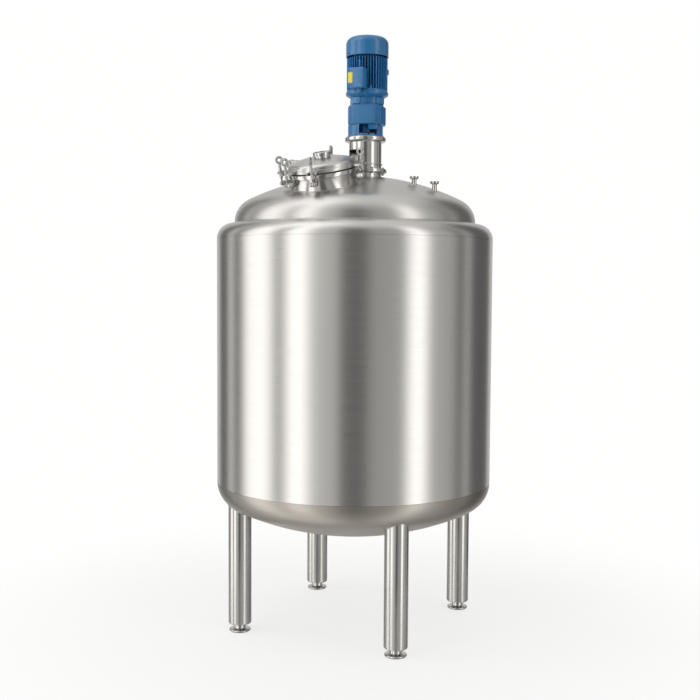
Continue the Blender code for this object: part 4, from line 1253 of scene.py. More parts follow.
def build_forks():
    """Forks on the cover's rim, one round each swing bolt."""
    half = FORK_SLOT / 2
    outside = half + FORK_CHEEK
    root = RIM_RADIUS - 0.011
    tip = FORK_REACH - FORK_CHEEK / 2
    slot = FORK_SLOT_START + half * 0.4
    points = [
        (root, -outside), *arc(tip, -half - FORK_CHEEK / 2, FORK_CHEEK / 2, -90, 90, 6),
        *arc(slot, -half * 0.6, half * 0.4, 270, 180, 4),
        *arc(slot, half * 0.6, half * 0.4, 180, 90, 4),
        *arc(tip, half + FORK_CHEEK / 2, FORK_CHEEK / 2, -90, 90, 6), (root, outside),
    ]
    fork = rounded(slab("cover_forks_bar", points, FORK_LOW_Z, FORK_HIGH_Z), 0.0015)
    forks = copies_at(fork, [at_angle(angle) for angle in CLAMP_ANGLES])
    finish(smooth(forks), "cast_steel", body=COVER)


def build_cover_arm():
    """Hinge arm that runs up onto the cover's dish."""
    high_z = COVER_STEP - 0.002
    outline = [
        (RIM_RADIUS - 0.018, high_z), (RIM_RADIUS + 0.030, high_z),
        *arc(HINGE_CIRCLE, HINGE_Z, HINGE_EYE, -120, 110, 18),
        (RIM_RADIUS - 0.018, HINGE_Z + HINGE_EYE - 0.004),
    ]
    half = HINGE_ARM_WIDTH / 2
    arm = rounded(plate("cover_hinge_arm", outline, -half, half), 0.003, 3)
    bore = laid_along_y(rod("bore", HINGE_BORE, -0.05, 0.05, 32))
    cut(arm, placed(bore, move_by(HINGE_CIRCLE, 0, HINGE_Z)))
    placed(arm, at_angle(HINGE_ANGLE))
    finish(smooth(arm), "cast_steel", body=COVER)


def build_sight_port(sizes):
    """Sight port with its screwed flange, its glass and the seal under it."""
    place = MANWAY @ move_by(SIGHT_X, SIGHT_Y, 0)
    low_z = SIGHT_TOP_Z - SIGHT_FLANGE_HEIGHT
    seat = SIGHT_TOP_Z - SIGHT_GLASS_HEIGHT
    split = low_z + SIGHT_FLANGE_HEIGHT * 0.45
    edge = 0.0012
    outline = [
        (SIGHT_BORE, COVER_STEP + 0.045), (SIGHT_RADIUS, COVER_STEP + 0.045),
        (SIGHT_RADIUS, low_z), (SIGHT_FLANGE_RADIUS - edge, low_z),
        (SIGHT_FLANGE_RADIUS, low_z + edge), (SIGHT_FLANGE_RADIUS, split - edge),
        (SIGHT_FLANGE_RADIUS - 0.0015, split), (SIGHT_FLANGE_RADIUS, split + edge),
        (SIGHT_FLANGE_RADIUS, SIGHT_TOP_Z - edge), (SIGHT_FLANGE_RADIUS - edge, SIGHT_TOP_Z),
        (SIGHT_GLASS_RADIUS + 0.0005, SIGHT_TOP_Z), (SIGHT_GLASS_RADIUS + 0.0005, seat),
        (SIGHT_BORE, seat),
    ]
    port = turned("sight_port_body", outline, 96)
    line = dish(COVER_RADIUS + GAP, COVER_CROWN + GAP, COVER_KNUCKLE + GAP)
    fill = raised(line, COVER_STEP)
    fill = turned("cover_fill", [*fill, (COVER_RADIUS, 0), (0, 0)], 144)
    cut(port, placed(fill, move_by(-SIGHT_X, -SIGHT_Y, 0)))
    placed(port, place)
    finish(smooth(port, 30), "bright_polish", ["sight_port"], body=COVER)
    glass = rod("sight_glass_disc", SIGHT_GLASS_RADIUS, seat, SIGHT_TOP_Z - 0.001, 96)
    rounded(glass, 0.0008)
    smooth(placed(glass, place))
    finish(glass, "clear_glass", ["sight_glass"], body=COVER)
    seal = turned(
        "sight_seal",
        [(SIGHT_BORE - 0.001, seat - 0.0025), (SIGHT_GLASS_RADIUS, seat - 0.0025),
         (SIGHT_GLASS_RADIUS, seat + 0.0002), (SIGHT_BORE - 0.001, seat + 0.0002)],
        64,
    )
    finish(placed(smooth(seal), place), "soft_rubber", body=COVER)
    screw = socket_screw("sight_screws", sizes.screw, 0.0022)
    ring = (SIGHT_GLASS_RADIUS + SIGHT_FLANGE_RADIUS) / 2
    placed(screw, move_by(ring, 0, SIGHT_TOP_Z - 0.0004))
    screws = placed(around(screw, 6, 15), place)
    finish(smooth(screws), "bright_polish", body=COVER)


# Swing clamps


def threaded_bolt(sizes):
    """Swing bolt: an eye on Y and a shank with its thread, standing on Z."""
    outline = [(0.0064, -0.007), (0.013, -0.007), (0.013, 0.007), (0.0064, 0.007)]
    eye = rounded(laid_along_y(turned("eye", outline, 40)), 0.001)
    core = SHANK_RADIUS - 0.0008
    line = [(0, 0.0115), (SHANK_RADIUS, 0.0115), (SHANK_RADIUS, 0.0155)]
    rise = 0.0155
    while rise < NUT_FOOT + 0.006:
        line += [(core, rise + sizes.pitch / 2), (SHANK_RADIUS, rise + sizes.pitch)]
        rise += sizes.pitch
    line += [(core, rise), (core, SHANK_TOP), (0, SHANK_TOP)]
    shank = turned("shank", line, 32)
    return smooth(joined([eye, shank], "bolt"), 35)


def ring_nut():
    """Tapered sleeve nut with a ring on top to turn it by."""
    outline = [
        (0, SHANK_TOP + GAP), (SHANK_RADIUS + GAP, SHANK_TOP + GAP),
        (SHANK_RADIUS + GAP, NUT_FOOT), (0.0095, NUT_FOOT),
        *arc(0.0093, NUT_FOOT + 0.0012, 0.0012, -90, 90, 4), (0.0092, NUT_FOOT + 0.004),
        (0.0100, NUT_FOOT + 0.006), (0.0094, NUT_FOOT + 0.040), (0.0085, NUT_TOP - 0.008),
        (0.0070, NUT_TOP - 0.002), (0.0055, NUT_TOP + 0.001), (0, NUT_TOP + 0.001),
    ]
    sleeve = smooth(turned("sleeve", outline, 40), 50)
    deselect_all()
    bpy.ops.mesh.primitive_torus_add(
        major_radius=RING_RADIUS, minor_radius=RING_WIRE, major_segments=48,
        minor_segments=16, location=(0, 0, RING_MIDDLE), rotation=(math.radians(90), 0, 0),
    )
    ring = named("ring")
    bpy.ops.object.transform_apply(location=True, rotation=True, scale=True)
    return smooth(joined([sleeve, ring], "nut"), 50)


def build_clamps(sizes):
    """Five swing clamps, each riding on its own pivot."""
    bolt = threaded_bolt(sizes)
    nut = ring_nut()
    out = move_by(CLAMP_CIRCLE, 0, CLAMP_PIVOT_Z)
    for number, angle in enumerate(CLAMP_ANGLES, 1):
        place = at_angle(angle) @ out
        body = f"clamp_{number}"
        piece = copied(bolt, place)
        piece.name = f"{body}_bolt"
        finish(piece, "cast_steel", [f"swing_bolt_{number}"], body=body)
        piece = copied(nut, place)
        piece.name = f"{body}_nut"
        finish(piece, "cast_steel", [f"ring_nut_{number}"], body=body)
    for piece in (bolt, nut):
        bpy.data.objects.remove(piece, do_unlink=True)


# Small nozzles and outlet


SMALL_NOZZLES = 2


def build_small_nozzle(number, sizes):
    """Capped ferrule nozzle on the dome, with its weld."""
    name = f"small_nozzle_{number}"
    middle = (low(name) + high(name)) / 2
    top = high(name).z
    place = move_by(middle.x, middle.y, 0)
    flange = high(name).x - middle.x
    outline = [
        (0, HEAD_TANGENT_Z + 0.05), (0.014, HEAD_TANGENT_Z + 0.05), (0.014, top - 0.019),
        (0.0165, top - 0.0165), *arc(flange - 0.0012, top - 0.0125, 0.0012, -90, 90, 4),
        (flange - 0.0035, top - 0.0108), (flange - 0.0035, top - 0.0092),
        *arc(flange - 0.0012, top - 0.0075, 0.0012, -90, 0, 3),
        *arc(flange - 0.0015, top - 0.0015, 0.0015, 0, 90, 4), (flange - 0.0070, top),
        (flange - 0.0085, top - 0.0015), (0, top - 0.0020),
    ]
    nozzle = placed(turned(f"{name}_ferrule", outline, 64), place)
    cut(nozzle, dome_fill())
    finish(smooth(nozzle, 35), "bright_polish", [name])
    points = on_dome(ring_points(0.0145, 0, 48), middle)
    weld = bead(f"{name}_weld", points, sizes.weld * 0.6)
    finish(weld, "weld_metal")


def build_outlet(sizes):
    """Bottom outlet with its ferrule and its weld."""
    foot = low("bottom_outlet").z
    top = high("bottom_outlet").z
    flange = high("bottom_outlet").x
    outline = [
        (0.0225, foot), (flange - 0.001, foot),
        *arc(flange - 0.0015, foot + 0.0035, 0.0015, -90, 90, 5), (0.0285, foot + 0.0085),
        (0.0255, foot + 0.012), (0.0255, top), (0.0225, top),
    ]
    outlet = smooth(turned("outlet_tube", outline, 72), 35)
    finish(outlet, "bright_polish", ["bottom_outlet"])
    height = jacket_dish_z(0.026, 0)
    weld = bead("outlet_weld", ring_points(0.026, height - 0.001, 64), sizes.weld * 0.7)
    finish(weld, "weld_metal")


# Agitator nozzle and lantern


FLANGE_BOLT_CIRCLE = 0.1135
NOZZLE_FLANGE_Z = 2.784
LANTERN_FOOT_Z = low("lantern").z
LANTERN_TOP_Z = high("lantern").z
FLANGE_RADIUS = high("agitator_nozzle").x - AGITATOR_X
FLANGE_HEIGHT = 0.009
LANTERN_RADIUS = 0.097
LANTERN_RING_Z = 2.8321
LANTERN_TOP_FLANGE = 0.028
LANTERN_TOP_RADIUS = 0.1225
WINDOW_LOW_Z = 2.850
WINDOW_HIGH_Z = 2.917
WINDOW_HALF = 0.060
WINDOW_TURN = -145.0


def build_agitator_nozzle(sizes):
    """Nozzle under the lantern, with its flange and its weld on the dome."""
    outline = [
        (NOZZLE_BORE, HEAD_TANGENT_Z + 0.05), (NOZZLE_RADIUS, HEAD_TANGENT_Z + 0.05),
        (NOZZLE_RADIUS, NOZZLE_FLANGE_Z - 0.003), (0.098, NOZZLE_FLANGE_Z),
        (FLANGE_RADIUS - 0.0015, NOZZLE_FLANGE_Z),
        *arc(FLANGE_RADIUS - 0.0015, NOZZLE_FLANGE_Z + 0.0015, 0.0015, -90, 0, 3),
        (FLANGE_RADIUS, LANTERN_FOOT_Z - GAP), (NOZZLE_BORE, LANTERN_FOOT_Z - GAP),
    ]
    nozzle = placed(turned("nozzle_tube", outline, 96), AGITATOR)
    cut(nozzle, dome_fill())
    finish(smooth(nozzle, 35), "bright_polish", ["agitator_nozzle"])
    points = on_dome(ring_points(0.0955, 0, 96), Vector((AGITATOR_X, AGITATOR_Y, 0)))
    weld = bead("nozzle_weld", points, sizes.weld)
    finish(weld, "weld_metal")


def build_lantern(sizes):
    """Lantern with two windows, a ring near its foot and its flange bolts."""
    step = LANTERN_FOOT_Z + FLANGE_HEIGHT
    land = LANTERN_TOP_Z - LANTERN_TOP_FLANGE
    rim = LANTERN_TOP_RADIUS
    inner = LANTERN_RADIUS - 0.006
    outline = [
        (0.035, LANTERN_FOOT_Z), (FLANGE_RADIUS, LANTERN_FOOT_Z),
        *arc(FLANGE_RADIUS - 0.0015, step - 0.0015, 0.0015, 0, 90, 3),
        (LANTERN_RADIUS + 0.003, step), (LANTERN_RADIUS, step + 0.003),
        (LANTERN_RADIUS, LANTERN_RING_Z - 0.0065),
        *arc(LANTERN_RADIUS, LANTERN_RING_Z, 0.0055, -90, 90, 10),
        (LANTERN_RADIUS, land - 0.004), (LANTERN_RADIUS + 0.004, land),
        *arc(rim - 0.010, land + 0.010, 0.010, -80, 0, 6),
        *arc(rim - 0.008, LANTERN_TOP_Z - 0.008, 0.008, 0, 80, 5),
        (rim - 0.009, LANTERN_TOP_Z), (0.035, LANTERN_TOP_Z), (0.035, land + 0.008),
        (inner, land + 0.008), (inner, step), (0.035, step),
    ]
    lantern = turned("lantern_tube", outline, 96)
    window = block(
        "window", (-0.3, -WINDOW_HALF, WINDOW_LOW_Z), (0.3, WINDOW_HALF, WINDOW_HIGH_Z)
    )
    rounded(window, 0.008, 4, 80)
    cut(lantern, placed(window, turn_by("Z", WINDOW_TURN)))
    placed(lantern, AGITATOR)
    finish(smooth(lantern, 35), "bright_polish", ["lantern"])
    bolt = hex_bolt("flange_bolts", sizes.bolt)
    placed(bolt, move_by(FLANGE_BOLT_CIRCLE, 0, step))
    nut = placed(hex_bolt("nut", sizes.bolt), turn_by("X", 180))
    placed(nut, move_by(FLANGE_BOLT_CIRCLE, 0, NOZZLE_FLANGE_Z))
    bolts = around(joined([bolt, nut], "flange_bolts"), 8, 22.5)
    smooth(placed(bolts, AGITATOR), 35)
    finish(bolts, "bright_polish")


def build_seal(sizes):
    """Shaft seal inside the lantern, with its ring of screws."""
    foot = low("shaft_seal").z
    top = high("shaft_seal").z
    outline = [
        (SHAFT_BORE, foot), (0.055, foot), (0.056, foot + 0.001), (0.056, foot + 0.013),
        (0.055, foot + 0.014), (0.046, foot + 0.014), (0.044, foot + 0.018),
        (0.044, top - 0.010), (0.041, top - 0.008), (0.041, top - 0.001), (0.040, top),
        (SHAFT_BORE, top),
    ]
    seal = placed(turned("seal_body", outline, 72), AGITATOR)
    finish(smooth(seal, 35), "cast_steel", ["shaft_seal"])
    screw = socket_screw("seal_screws", sizes.screw * 1.3, 0.004)
    placed(screw, move_by(0.050, 0, foot + 0.014))
    screws = placed(around(screw, 6), AGITATOR)
    finish(smooth(screws), "bright_polish")


# Gearbox


BASE_FOOT_Z = low("gearbox_base").z
BASE_TOP_Z = high("gearbox_base").z
BASE_RADIUS = 0.105
BASE_PLATE = 0.008
BASE_WINDOW_HALF = 0.056
BASE_WINDOW_TURN = -80.0
BASE_BOLT_CIRCLE = 0.099
BASE_BOLT_ANGLES = (-99, -64, 81, 116)
HOUSING_TOP_Z = high("gearbox_housing").z
HOUSING_FRONT = 0.105
HOUSING_SIDE = 0.100
HOUSING_FRONT_HALF = 0.065
HOUSING_SIDE_HALF = 0.055


def build_gearbox_base(sizes):
    """Ring with two columns that carries the gearbox, and its bolts."""
    inner = BASE_RADIUS - 0.014
    outline = [
        (inner, BASE_FOOT_Z), (BASE_RADIUS + 0.004, BASE_FOOT_Z),
        (BASE_RADIUS + 0.004, BASE_FOOT_Z + BASE_PLATE),
        (BASE_RADIUS, BASE_FOOT_Z + BASE_PLATE + 0.003), (BASE_RADIUS, BASE_TOP_Z),
        (inner, BASE_TOP_Z),
    ]
    base = turned("base_ring", outline, 96)
    window = block(
        "window", (-0.3, -BASE_WINDOW_HALF, BASE_FOOT_Z + BASE_PLATE),
        (0.3, BASE_WINDOW_HALF, BASE_TOP_Z + 0.01),
    )
    rounded(window, 0.010, 4, 80)
    turn = turn_by("Z", BASE_WINDOW_TURN)
    cut(base, placed(window, turn))
    rounded(base, 0.001)
    placed(base, AGITATOR)
    finish(smooth(base, 35), "gear_blue", ["gearbox_base"])
    bolt = hex_bolt("base_bolts", sizes.bolt * 0.85)
    placed(bolt, move_by(BASE_BOLT_CIRCLE, 0, BASE_FOOT_Z + BASE_PLATE))
    bolts = copies_at(bolt, [turn_by("Z", angle) for angle in BASE_BOLT_ANGLES])
    smooth(placed(bolts, AGITATOR), 35)
    finish(bolts, "gear_blue")


def corner_ribs(low_z, high_z):
    """Upright ribs on the cut corners at the front right and the back left."""
    wide = HOUSING_SIDE - HOUSING_FRONT_HALF
    deep = HOUSING_FRONT - HOUSING_SIDE_HALF
    turn = Matrix.Rotation(-math.atan2(wide, deep), 4, "Z")
    ribs = []
    for share in (0.16, 0.39, 0.61, 0.84):
        rib = block("rib", (-0.010, -0.0022, low_z), (0.003, 0.0022, high_z))
        spot = (HOUSING_FRONT_HALF + wide * share, deep * share - HOUSING_FRONT, 0)
        ribs.append(placed(rounded(rib, 0.0012), Matrix.Translation(spot) @ turn))
    opposite = turn_by("Z", 180)
    return ribs + [copied(rib, opposite) for rib in ribs]


def build_housing(sizes):
    """Cast housing with its ribs, a step, the hub under it and its plugs."""
    foot = BASE_TOP_Z + GAP
    corners = [
        (HOUSING_FRONT_HALF, -HOUSING_FRONT), (HOUSING_SIDE, -HOUSING_SIDE_HALF),
        (HOUSING_SIDE, HOUSING_SIDE_HALF), (HOUSING_FRONT_HALF, HOUSING_FRONT),
        (-HOUSING_FRONT_HALF, HOUSING_FRONT), (-HOUSING_SIDE, HOUSING_SIDE_HALF),
        (-HOUSING_SIDE, -HOUSING_SIDE_HALF), (-HOUSING_FRONT_HALF, -HOUSING_FRONT),
    ]
    housing = rounded(slab("housing", corners, foot, HOUSING_TOP_Z), 0.004, 3, 20)
    parts = [housing]
    for number in range(7):
        middle = (number - 3) * 0.0155
        reach = 0.1065 if abs(number - 3) < 3 else 0.1045
        rib = block(
            "rib", (-reach, middle - 0.0025, foot + 0.006),
            (reach, middle + 0.0025, HOUSING_TOP_Z - 0.006),
        )
        parts.append(rounded(rib, 0.0015))
    parts += corner_ribs(foot + 0.006, HOUSING_TOP_Z - 0.006)
    housing = placed(joined(parts, "housing_casting"), DRIVE)
    step = block("step", (0, -0.100, 3.034), (0.052, -0.060, foot + 0.004))
    rounded(step, 0.003)
    turn = turn_by("Z", 10)
    placed(step, AGITATOR @ turn)
    hub = rounded(rod("hub", 0.045, low("gearbox_housing").z, foot + 0.002, 72), 0.002)
    placed(hub, AGITATOR)
    housing = joined([housing, step, hub], "housing_casting")
    finish(smooth(housing, 35), "gear_blue", ["gearbox_housing"])
    screw = socket_screw("housing_plugs", sizes.screw * 1.8, 0.004)
    turn = turn_by("X", 90)
    places = []
    for x, z in ((-0.052, 0.018), (0.052, 0.018), (-0.052, -0.018), (0.052, -0.018)):
        edge = foot + z if z > 0 else HOUSING_TOP_Z + z
        flip = turn_by("Z", 180)
        spot = move_by(x, -HOUSING_FRONT, edge) @ turn
        places.append(DRIVE @ flip @ spot)
    plugs = copies_at(screw, places)
    finish(smooth(plugs), "gear_blue")


# Motor


SHIELD_LOW_Z = low("motor_end_shield").z
SHIELD_TOP_Z = high("motor_end_shield").z
MOTOR_RADIUS = 0.127
ADAPTER_RADIUS = 0.0995
FIN_ROOT = 0.090
FIN_RADIUS = 0.122
FIN_GAP = 0.009
COWL_LOW_Z = low("motor_cowl").z
COWL_TOP_Z = high("motor_cowl").z
COWL_EDGE = 0.044
COWL_WALL = 0.004
BOSS_CIRCLE = 0.114
BOSS_HEIGHT = 0.022
LUG_LOW_Z = 3.184
FAN_RADIUS = 0.100
FAN_BLADES = 9


def build_adapter(sizes):
    """Motor adapter with four lugs and their bolts."""
    foot = HOUSING_TOP_Z + GAP
    top = SHIELD_LOW_Z - GAP
    outline = [
        (0, foot), (ADAPTER_RADIUS, foot), (ADAPTER_RADIUS, foot + 0.005),
        (ADAPTER_RADIUS - 0.004, foot + 0.008), (ADAPTER_RADIUS - 0.004, top - 0.008),
        (ADAPTER_RADIUS, top - 0.005), (ADAPTER_RADIUS, top), (0, top),
    ]
    adapter = rounded(turned("adapter", outline, 96), 0.001)
    lug = rounded(block("lug", (0.07, -0.03, LUG_LOW_Z), (0.108, 0.03, top)), 0.003)
    lugs = around(lug, 4, -25)
    adapter = placed(joined([adapter, lugs], "adapter_casting"), DRIVE)
    finish(smooth(adapter, 35), "gear_blue", ["motor_adapter"])
    bolt = placed(hex_bolt("adapter_bolts", sizes.bolt), turn_by("X", 180))
    placed(bolt, move_by(0.098, 0.018, LUG_LOW_Z))
    other = copied(bolt, move_by(0, -0.036, 0))
    bolts = around(joined([bolt, other], "adapter_bolts"), 4, -25)
    placed(bolts, DRIVE)
    finish(smooth(bolts, 35), "gear_blue")


def build_end_shield(sizes):
    """End shield under the motor, with bosses for its bolts."""
    outline = [
        (0, SHIELD_LOW_Z), (ADAPTER_RADIUS - 0.002, SHIELD_LOW_Z),
        (ADAPTER_RADIUS, SHIELD_LOW_Z + 0.002),
        *arc(MOTOR_RADIUS - 0.008, SHIELD_TOP_Z - 0.013, 0.008, -45, 0, 5),
        (MOTOR_RADIUS, SHIELD_TOP_Z - 0.002), (MOTOR_RADIUS - 0.002, SHIELD_TOP_Z),
        (0, SHIELD_TOP_Z),
    ]
    shield = turned("shield", outline, 128)
    boss = rounded(
        rod("boss", 0.009, SHIELD_TOP_Z - 0.001, SHIELD_TOP_Z + BOSS_HEIGHT, 32), 0.002
    )
    placed(boss, move_by(BOSS_CIRCLE, 0, 0))
    bosses = around(boss, 4, 25)
    shield = placed(joined([shield, bosses], "shield_casting"), DRIVE)
    finish(smooth(shield, 35), "gear_blue", ["motor_end_shield"])
    bolt = hex_bolt("shield_bolts", sizes.bolt * 0.8)
    placed(bolt, move_by(BOSS_CIRCLE, 0, SHIELD_TOP_Z + BOSS_HEIGHT))
    bolts = placed(around(bolt, 4, 25), DRIVE)
    finish(smooth(bolts, 35), "gear_blue")


def build_motor_frame(sizes):
    """Motor frame: fins, a pad under the terminal box, two eyes, and a core painted dark blue
    as painted shade between the fins.
    """
    foot = SHIELD_TOP_Z + GAP
    root, tip = sizes.fin / 2, sizes.fin * 0.34
    points = [
        (FIN_ROOT - 0.001, -root), (FIN_RADIUS - 0.0015, -tip), (FIN_RADIUS, -tip * 0.4),
        (FIN_RADIUS, tip * 0.4), (FIN_RADIUS - 0.0015, tip), (FIN_ROOT - 0.001, root),
    ]
    fins = slab("fins", points, foot + 0.004, COWL_LOW_Z - FIN_GAP)
    fins = around(fins, sizes.fins)
    flange = rounded(rod("flange", FIN_RADIUS - 0.001, foot, foot + 0.010, 128), 0.0015)
    frame_piece = placed(joined([fins, flange], "frame_casting"), DRIVE)
    pad = block("pad", (-0.042, -FIN_RADIUS, 3.268), (0.042, -FIN_ROOT + 0.01, 3.374))
    placed(rounded(pad, 0.003), BOX)
    eye = block("eye", (FIN_ROOT - 0.002, -0.010, 3.366), (0.129, 0.010, 3.398))
    eye = placed(rounded(eye, 0.003), DRIVE @ turn_by("Z", 20))
    lug = block("lug", (FIN_ROOT - 0.002, -0.005, 3.388), (0.1275, 0.005, 3.430))
    lug = placed(rounded(lug, 0.003), DRIVE @ turn_by("Z", -97))
    frame_piece = joined([frame_piece, pad, eye, lug], "frame_casting")
    finish(smooth(frame_piece, 35), "gear_blue", ["motor_frame"])
    # The core is a darker copy of the blue paint: painted shade deep in the gaps between the
    # fins
    core = placed(rod("frame_core", FIN_ROOT, foot, high("motor_frame").z, 128), DRIVE)
    finish(smooth(core), "shaded_blue", ["motor_frame"])


def build_cowl(sizes):
    """Fan cowl with a rounded top, its air slots and its screws, and the fan."""
    bend = MOTOR_RADIUS - COWL_EDGE
    bend_z = COWL_TOP_Z - COWL_EDGE
    inner = MOTOR_RADIUS - COWL_WALL
    outline = [
        (0, COWL_TOP_Z), *arc(bend, bend_z, COWL_EDGE, 90, 0, 20),
        (MOTOR_RADIUS, COWL_LOW_Z + 0.006), (MOTOR_RADIUS, COWL_LOW_Z + 0.001),
        (MOTOR_RADIUS - 0.001, COWL_LOW_Z), (inner, COWL_LOW_Z),
        *arc(bend, bend_z, COWL_EDGE - COWL_WALL, 0, 90, 14), (0, COWL_TOP_Z - COWL_WALL),
    ]
    cowl = turned("cowl_shell", outline, 128)
    slots = []
    for start, end, count in ((0.020, 0.045, 12), (0.052, 0.078, 24)):
        top = COWL_TOP_Z + 0.01
        slot = block("slot", (start, -0.0024, top - 0.04), (end, 0.0024, top))
        slots.append(around(rounded(slot, 0.002, 3, 80), count))
    cut(cowl, joined(slots, "slots"))
    placed(cowl, DRIVE)
    finish(smooth(cowl, 35), "gear_blue", ["motor_cowl"])
    screw = socket_screw("cowl_screws", sizes.screw * 1.4, 0.003)
    placed(screw, turn_by("Y", 90))
    placed(screw, move_by(MOTOR_RADIUS - 0.0005, 0, COWL_LOW_Z + 0.012))
    screws = placed(around(screw, 4, 45), DRIVE)
    finish(smooth(screws, 35), "gear_blue")
    disc_z = COWL_TOP_Z - 0.080
    hub = rod("fan", 0.030, disc_z + 0.020, disc_z + 0.050, 48)
    blade = block("blade", (0.028, -0.002, disc_z + 0.003), (FAN_RADIUS, 0.002, disc_z + 0.032))
    disc = rod("disc", FAN_RADIUS, disc_z, disc_z + 0.004, 96)
    fan = placed(joined([hub, around(blade, FAN_BLADES), disc], "fan"), DRIVE)
    finish(smooth(fan, 35), "dark_plastic")


# Terminal box


BOX_BACK = FIN_RADIUS + GAP
BOX_DEPTH = 0.052
BOX_HALF = 0.0515
BOX_LOW_Z = low("terminal_box").z
BOX_HIGH_Z = high("terminal_box").z
BOX_EDGE = 0.012
LID_BACK = BOX_BACK + BOX_DEPTH + GAP
LID_FACE = LID_BACK + 0.006


def rounded_box(name, half, low_z, high_z, edge, back, face):
    """Box with round corners seen from the front, between two depths."""
    points = [
        *arc(half - edge, high_z - edge, edge, 0, 90, 8),
        *arc(-half + edge, high_z - edge, edge, 90, 180, 8),
        *arc(-half + edge, low_z + edge, edge, 180, 270, 8),
        *arc(half - edge, low_z + edge, edge, 270, 360, 8)
    ]
    return plate(name, points, -face, -back)


def build_terminal_box(sizes):
    """Terminal box and its lid, with the lid's four screws."""
    face = BOX_BACK + BOX_DEPTH
    box = rounded_box("box", BOX_HALF, BOX_LOW_Z, BOX_HIGH_Z, BOX_EDGE, BOX_BACK, face)
    placed(rounded(box, 0.002, 3), BOX)
    finish(smooth(box, 30), "gear_blue", ["terminal_box"])
    lid = rounded_box(
        "lid", BOX_HALF - 0.003, BOX_LOW_Z + 0.003, BOX_HIGH_Z - 0.003, BOX_EDGE - 0.003,
        LID_BACK, LID_FACE,
    )
    placed(rounded(lid, 0.0025, 3), BOX)
    finish(smooth(lid, 30), "gear_blue", ["terminal_lid"])
    screw = socket_screw("lid_screws", sizes.screw * 1.2, 0.002)
    turn = turn_by("X", 90)
    across = BOX_HALF - 0.011
    places = []
    for x in (-across, across):
        for z in (BOX_LOW_Z + 0.012, BOX_HIGH_Z - 0.012):
            places.append(BOX @ move_by(x, -LID_FACE + GAP, z) @ turn)
    screws = copies_at(screw, places)
    finish(smooth(screws, 35), "gear_blue")


def build_blank_plate():
    """Plain yellow plate held by two rivets, with nothing on it."""
    back = LID_FACE + GAP
    left = -BOX_HALF + 0.006
    middle_z = (BOX_LOW_Z + BOX_HIGH_Z) / 2
    first = (left, -back - 0.001, middle_z - 0.030)
    sheet = block("sheet", first, (left + 0.029, -back, middle_z + 0.030))
    rounded(sheet, 0.0004)
    placed(sheet, BOX)
    finish(smooth(sheet), "plate_yellow", ["blank_plate"])
    rivet = rounded(rod("rivets", 0.0016, 0, 0.0008, 20), 0.0004)
    turn = turn_by("X", 90)
    places = []
    for z in (middle_z - 0.026, middle_z + 0.026):
        spot = (left + 0.0145, -back - 0.0009, z)
        places.append(BOX @ Matrix.Translation(spot) @ turn)
    rivets = copies_at(rivet, places)
    finish(smooth(rivets), "bright_polish")


def build_gland():
    """Cable gland under the terminal box, with its locknut and blind plug."""
    top = high("cable_gland").z
    foot = low("cable_gland").z
    spot = move_by(0.012, -(BOX_BACK + BOX_DEPTH / 2), 0)
    deselect_all()
    bpy.ops.mesh.primitive_cylinder_add(vertices=6, radius=0.016, depth=0.012)
    nut = named("nut")
    nut.location = (0, 0, top - 0.006)
    bpy.ops.object.transform_apply(location=True, rotation=True, scale=True)
    rounded(nut, 0.001)
    outline = [
        (0, top - 0.011), (0.0125, top - 0.011), (0.0125, foot + 0.006),
        *arc(0.0085, foot + 0.004, 0.004, 0, -90, 4), (0, foot),
    ]
    body = turned("body", outline, 40)
    gland = placed(joined([nut, body], "gland"), BOX @ spot)
    finish(smooth(gland, 35), "gear_blue", ["cable_gland"])


# Rotor


def build_shaft():
    """Agitator shaft with its coupling groove and its rounded end."""
    foot = low("agitator_shaft").z
    top = high("agitator_shaft").z
    outline = [
        (0, foot), (0.022, foot), (0.025, foot + 0.003), (0.025, top - 0.045),
        (0.0235, top - 0.044), (0.0235, top - 0.041), (0.025, top - 0.040),
        (0.025, top - 0.001), (0.024, top), (0, top),
    ]
    shaft = placed(turned("shaft_bar", outline, 64), AGITATOR)
    finish(smooth(shaft, 35), "bright_polish", ["agitator_shaft"], body=ROTOR)


IMPELLER_Z = 1.180
IMPELLER_RADIUS = 0.250
BLADES = 4
BLADE_PITCH = 45


def build_impeller(sizes):
    """Impeller with pitched blades welded to its hub, and its lock screw."""
    outline = [
        (SHAFT_BORE, IMPELLER_Z - 0.055), (0.042, IMPELLER_Z - 0.055),
        (0.045, IMPELLER_Z - 0.052), (0.045, IMPELLER_Z + 0.052),
        (0.042, IMPELLER_Z + 0.055), (SHAFT_BORE, IMPELLER_Z + 0.055),
    ]
    hub = turned("hub", outline, 64)
    blade = rounded(
        block("blade", (0.041, -0.004, -0.045), (IMPELLER_RADIUS, 0.004, 0.045)), 0.002
    )
    placed(blade, turn_by("X", BLADE_PITCH))
    placed(blade, move_by(0, 0, IMPELLER_Z))
    impeller = placed(joined([hub, around(blade, BLADES)], "impeller_wheel"), AGITATOR)
    finish(smooth(impeller, 35), "cast_steel", ["impeller"], body=ROTOR)
    screw = socket_screw("impeller_screw", sizes.screw * 2, 0.004)
    placed(screw, turn_by("Y", 90))
    placed(screw, move_by(0.0447, 0, IMPELLER_Z + 0.046))
    placed(screw, AGITATOR)
    finish(smooth(screw, 35), "bright_polish", body=ROTOR)


# Add-on


def colour_setting(name, description, default):
    """Colour that a user may change."""
    return FloatVectorProperty(
        name=name, description=description, default=default, min=0.0, max=1.0, subtype="COLOR"
    )


def length_setting(name, description, default, least, most):
    """Length that a user may change."""
    return FloatProperty(
        name=name, description=description, default=default, min=least, max=most, unit="LENGTH"
    )


def light_setting(name, description, default):
    """Brightness that a user may change."""
    return FloatProperty(
        name=name, description=description, default=default, min=0.0, unit="NONE"
    )


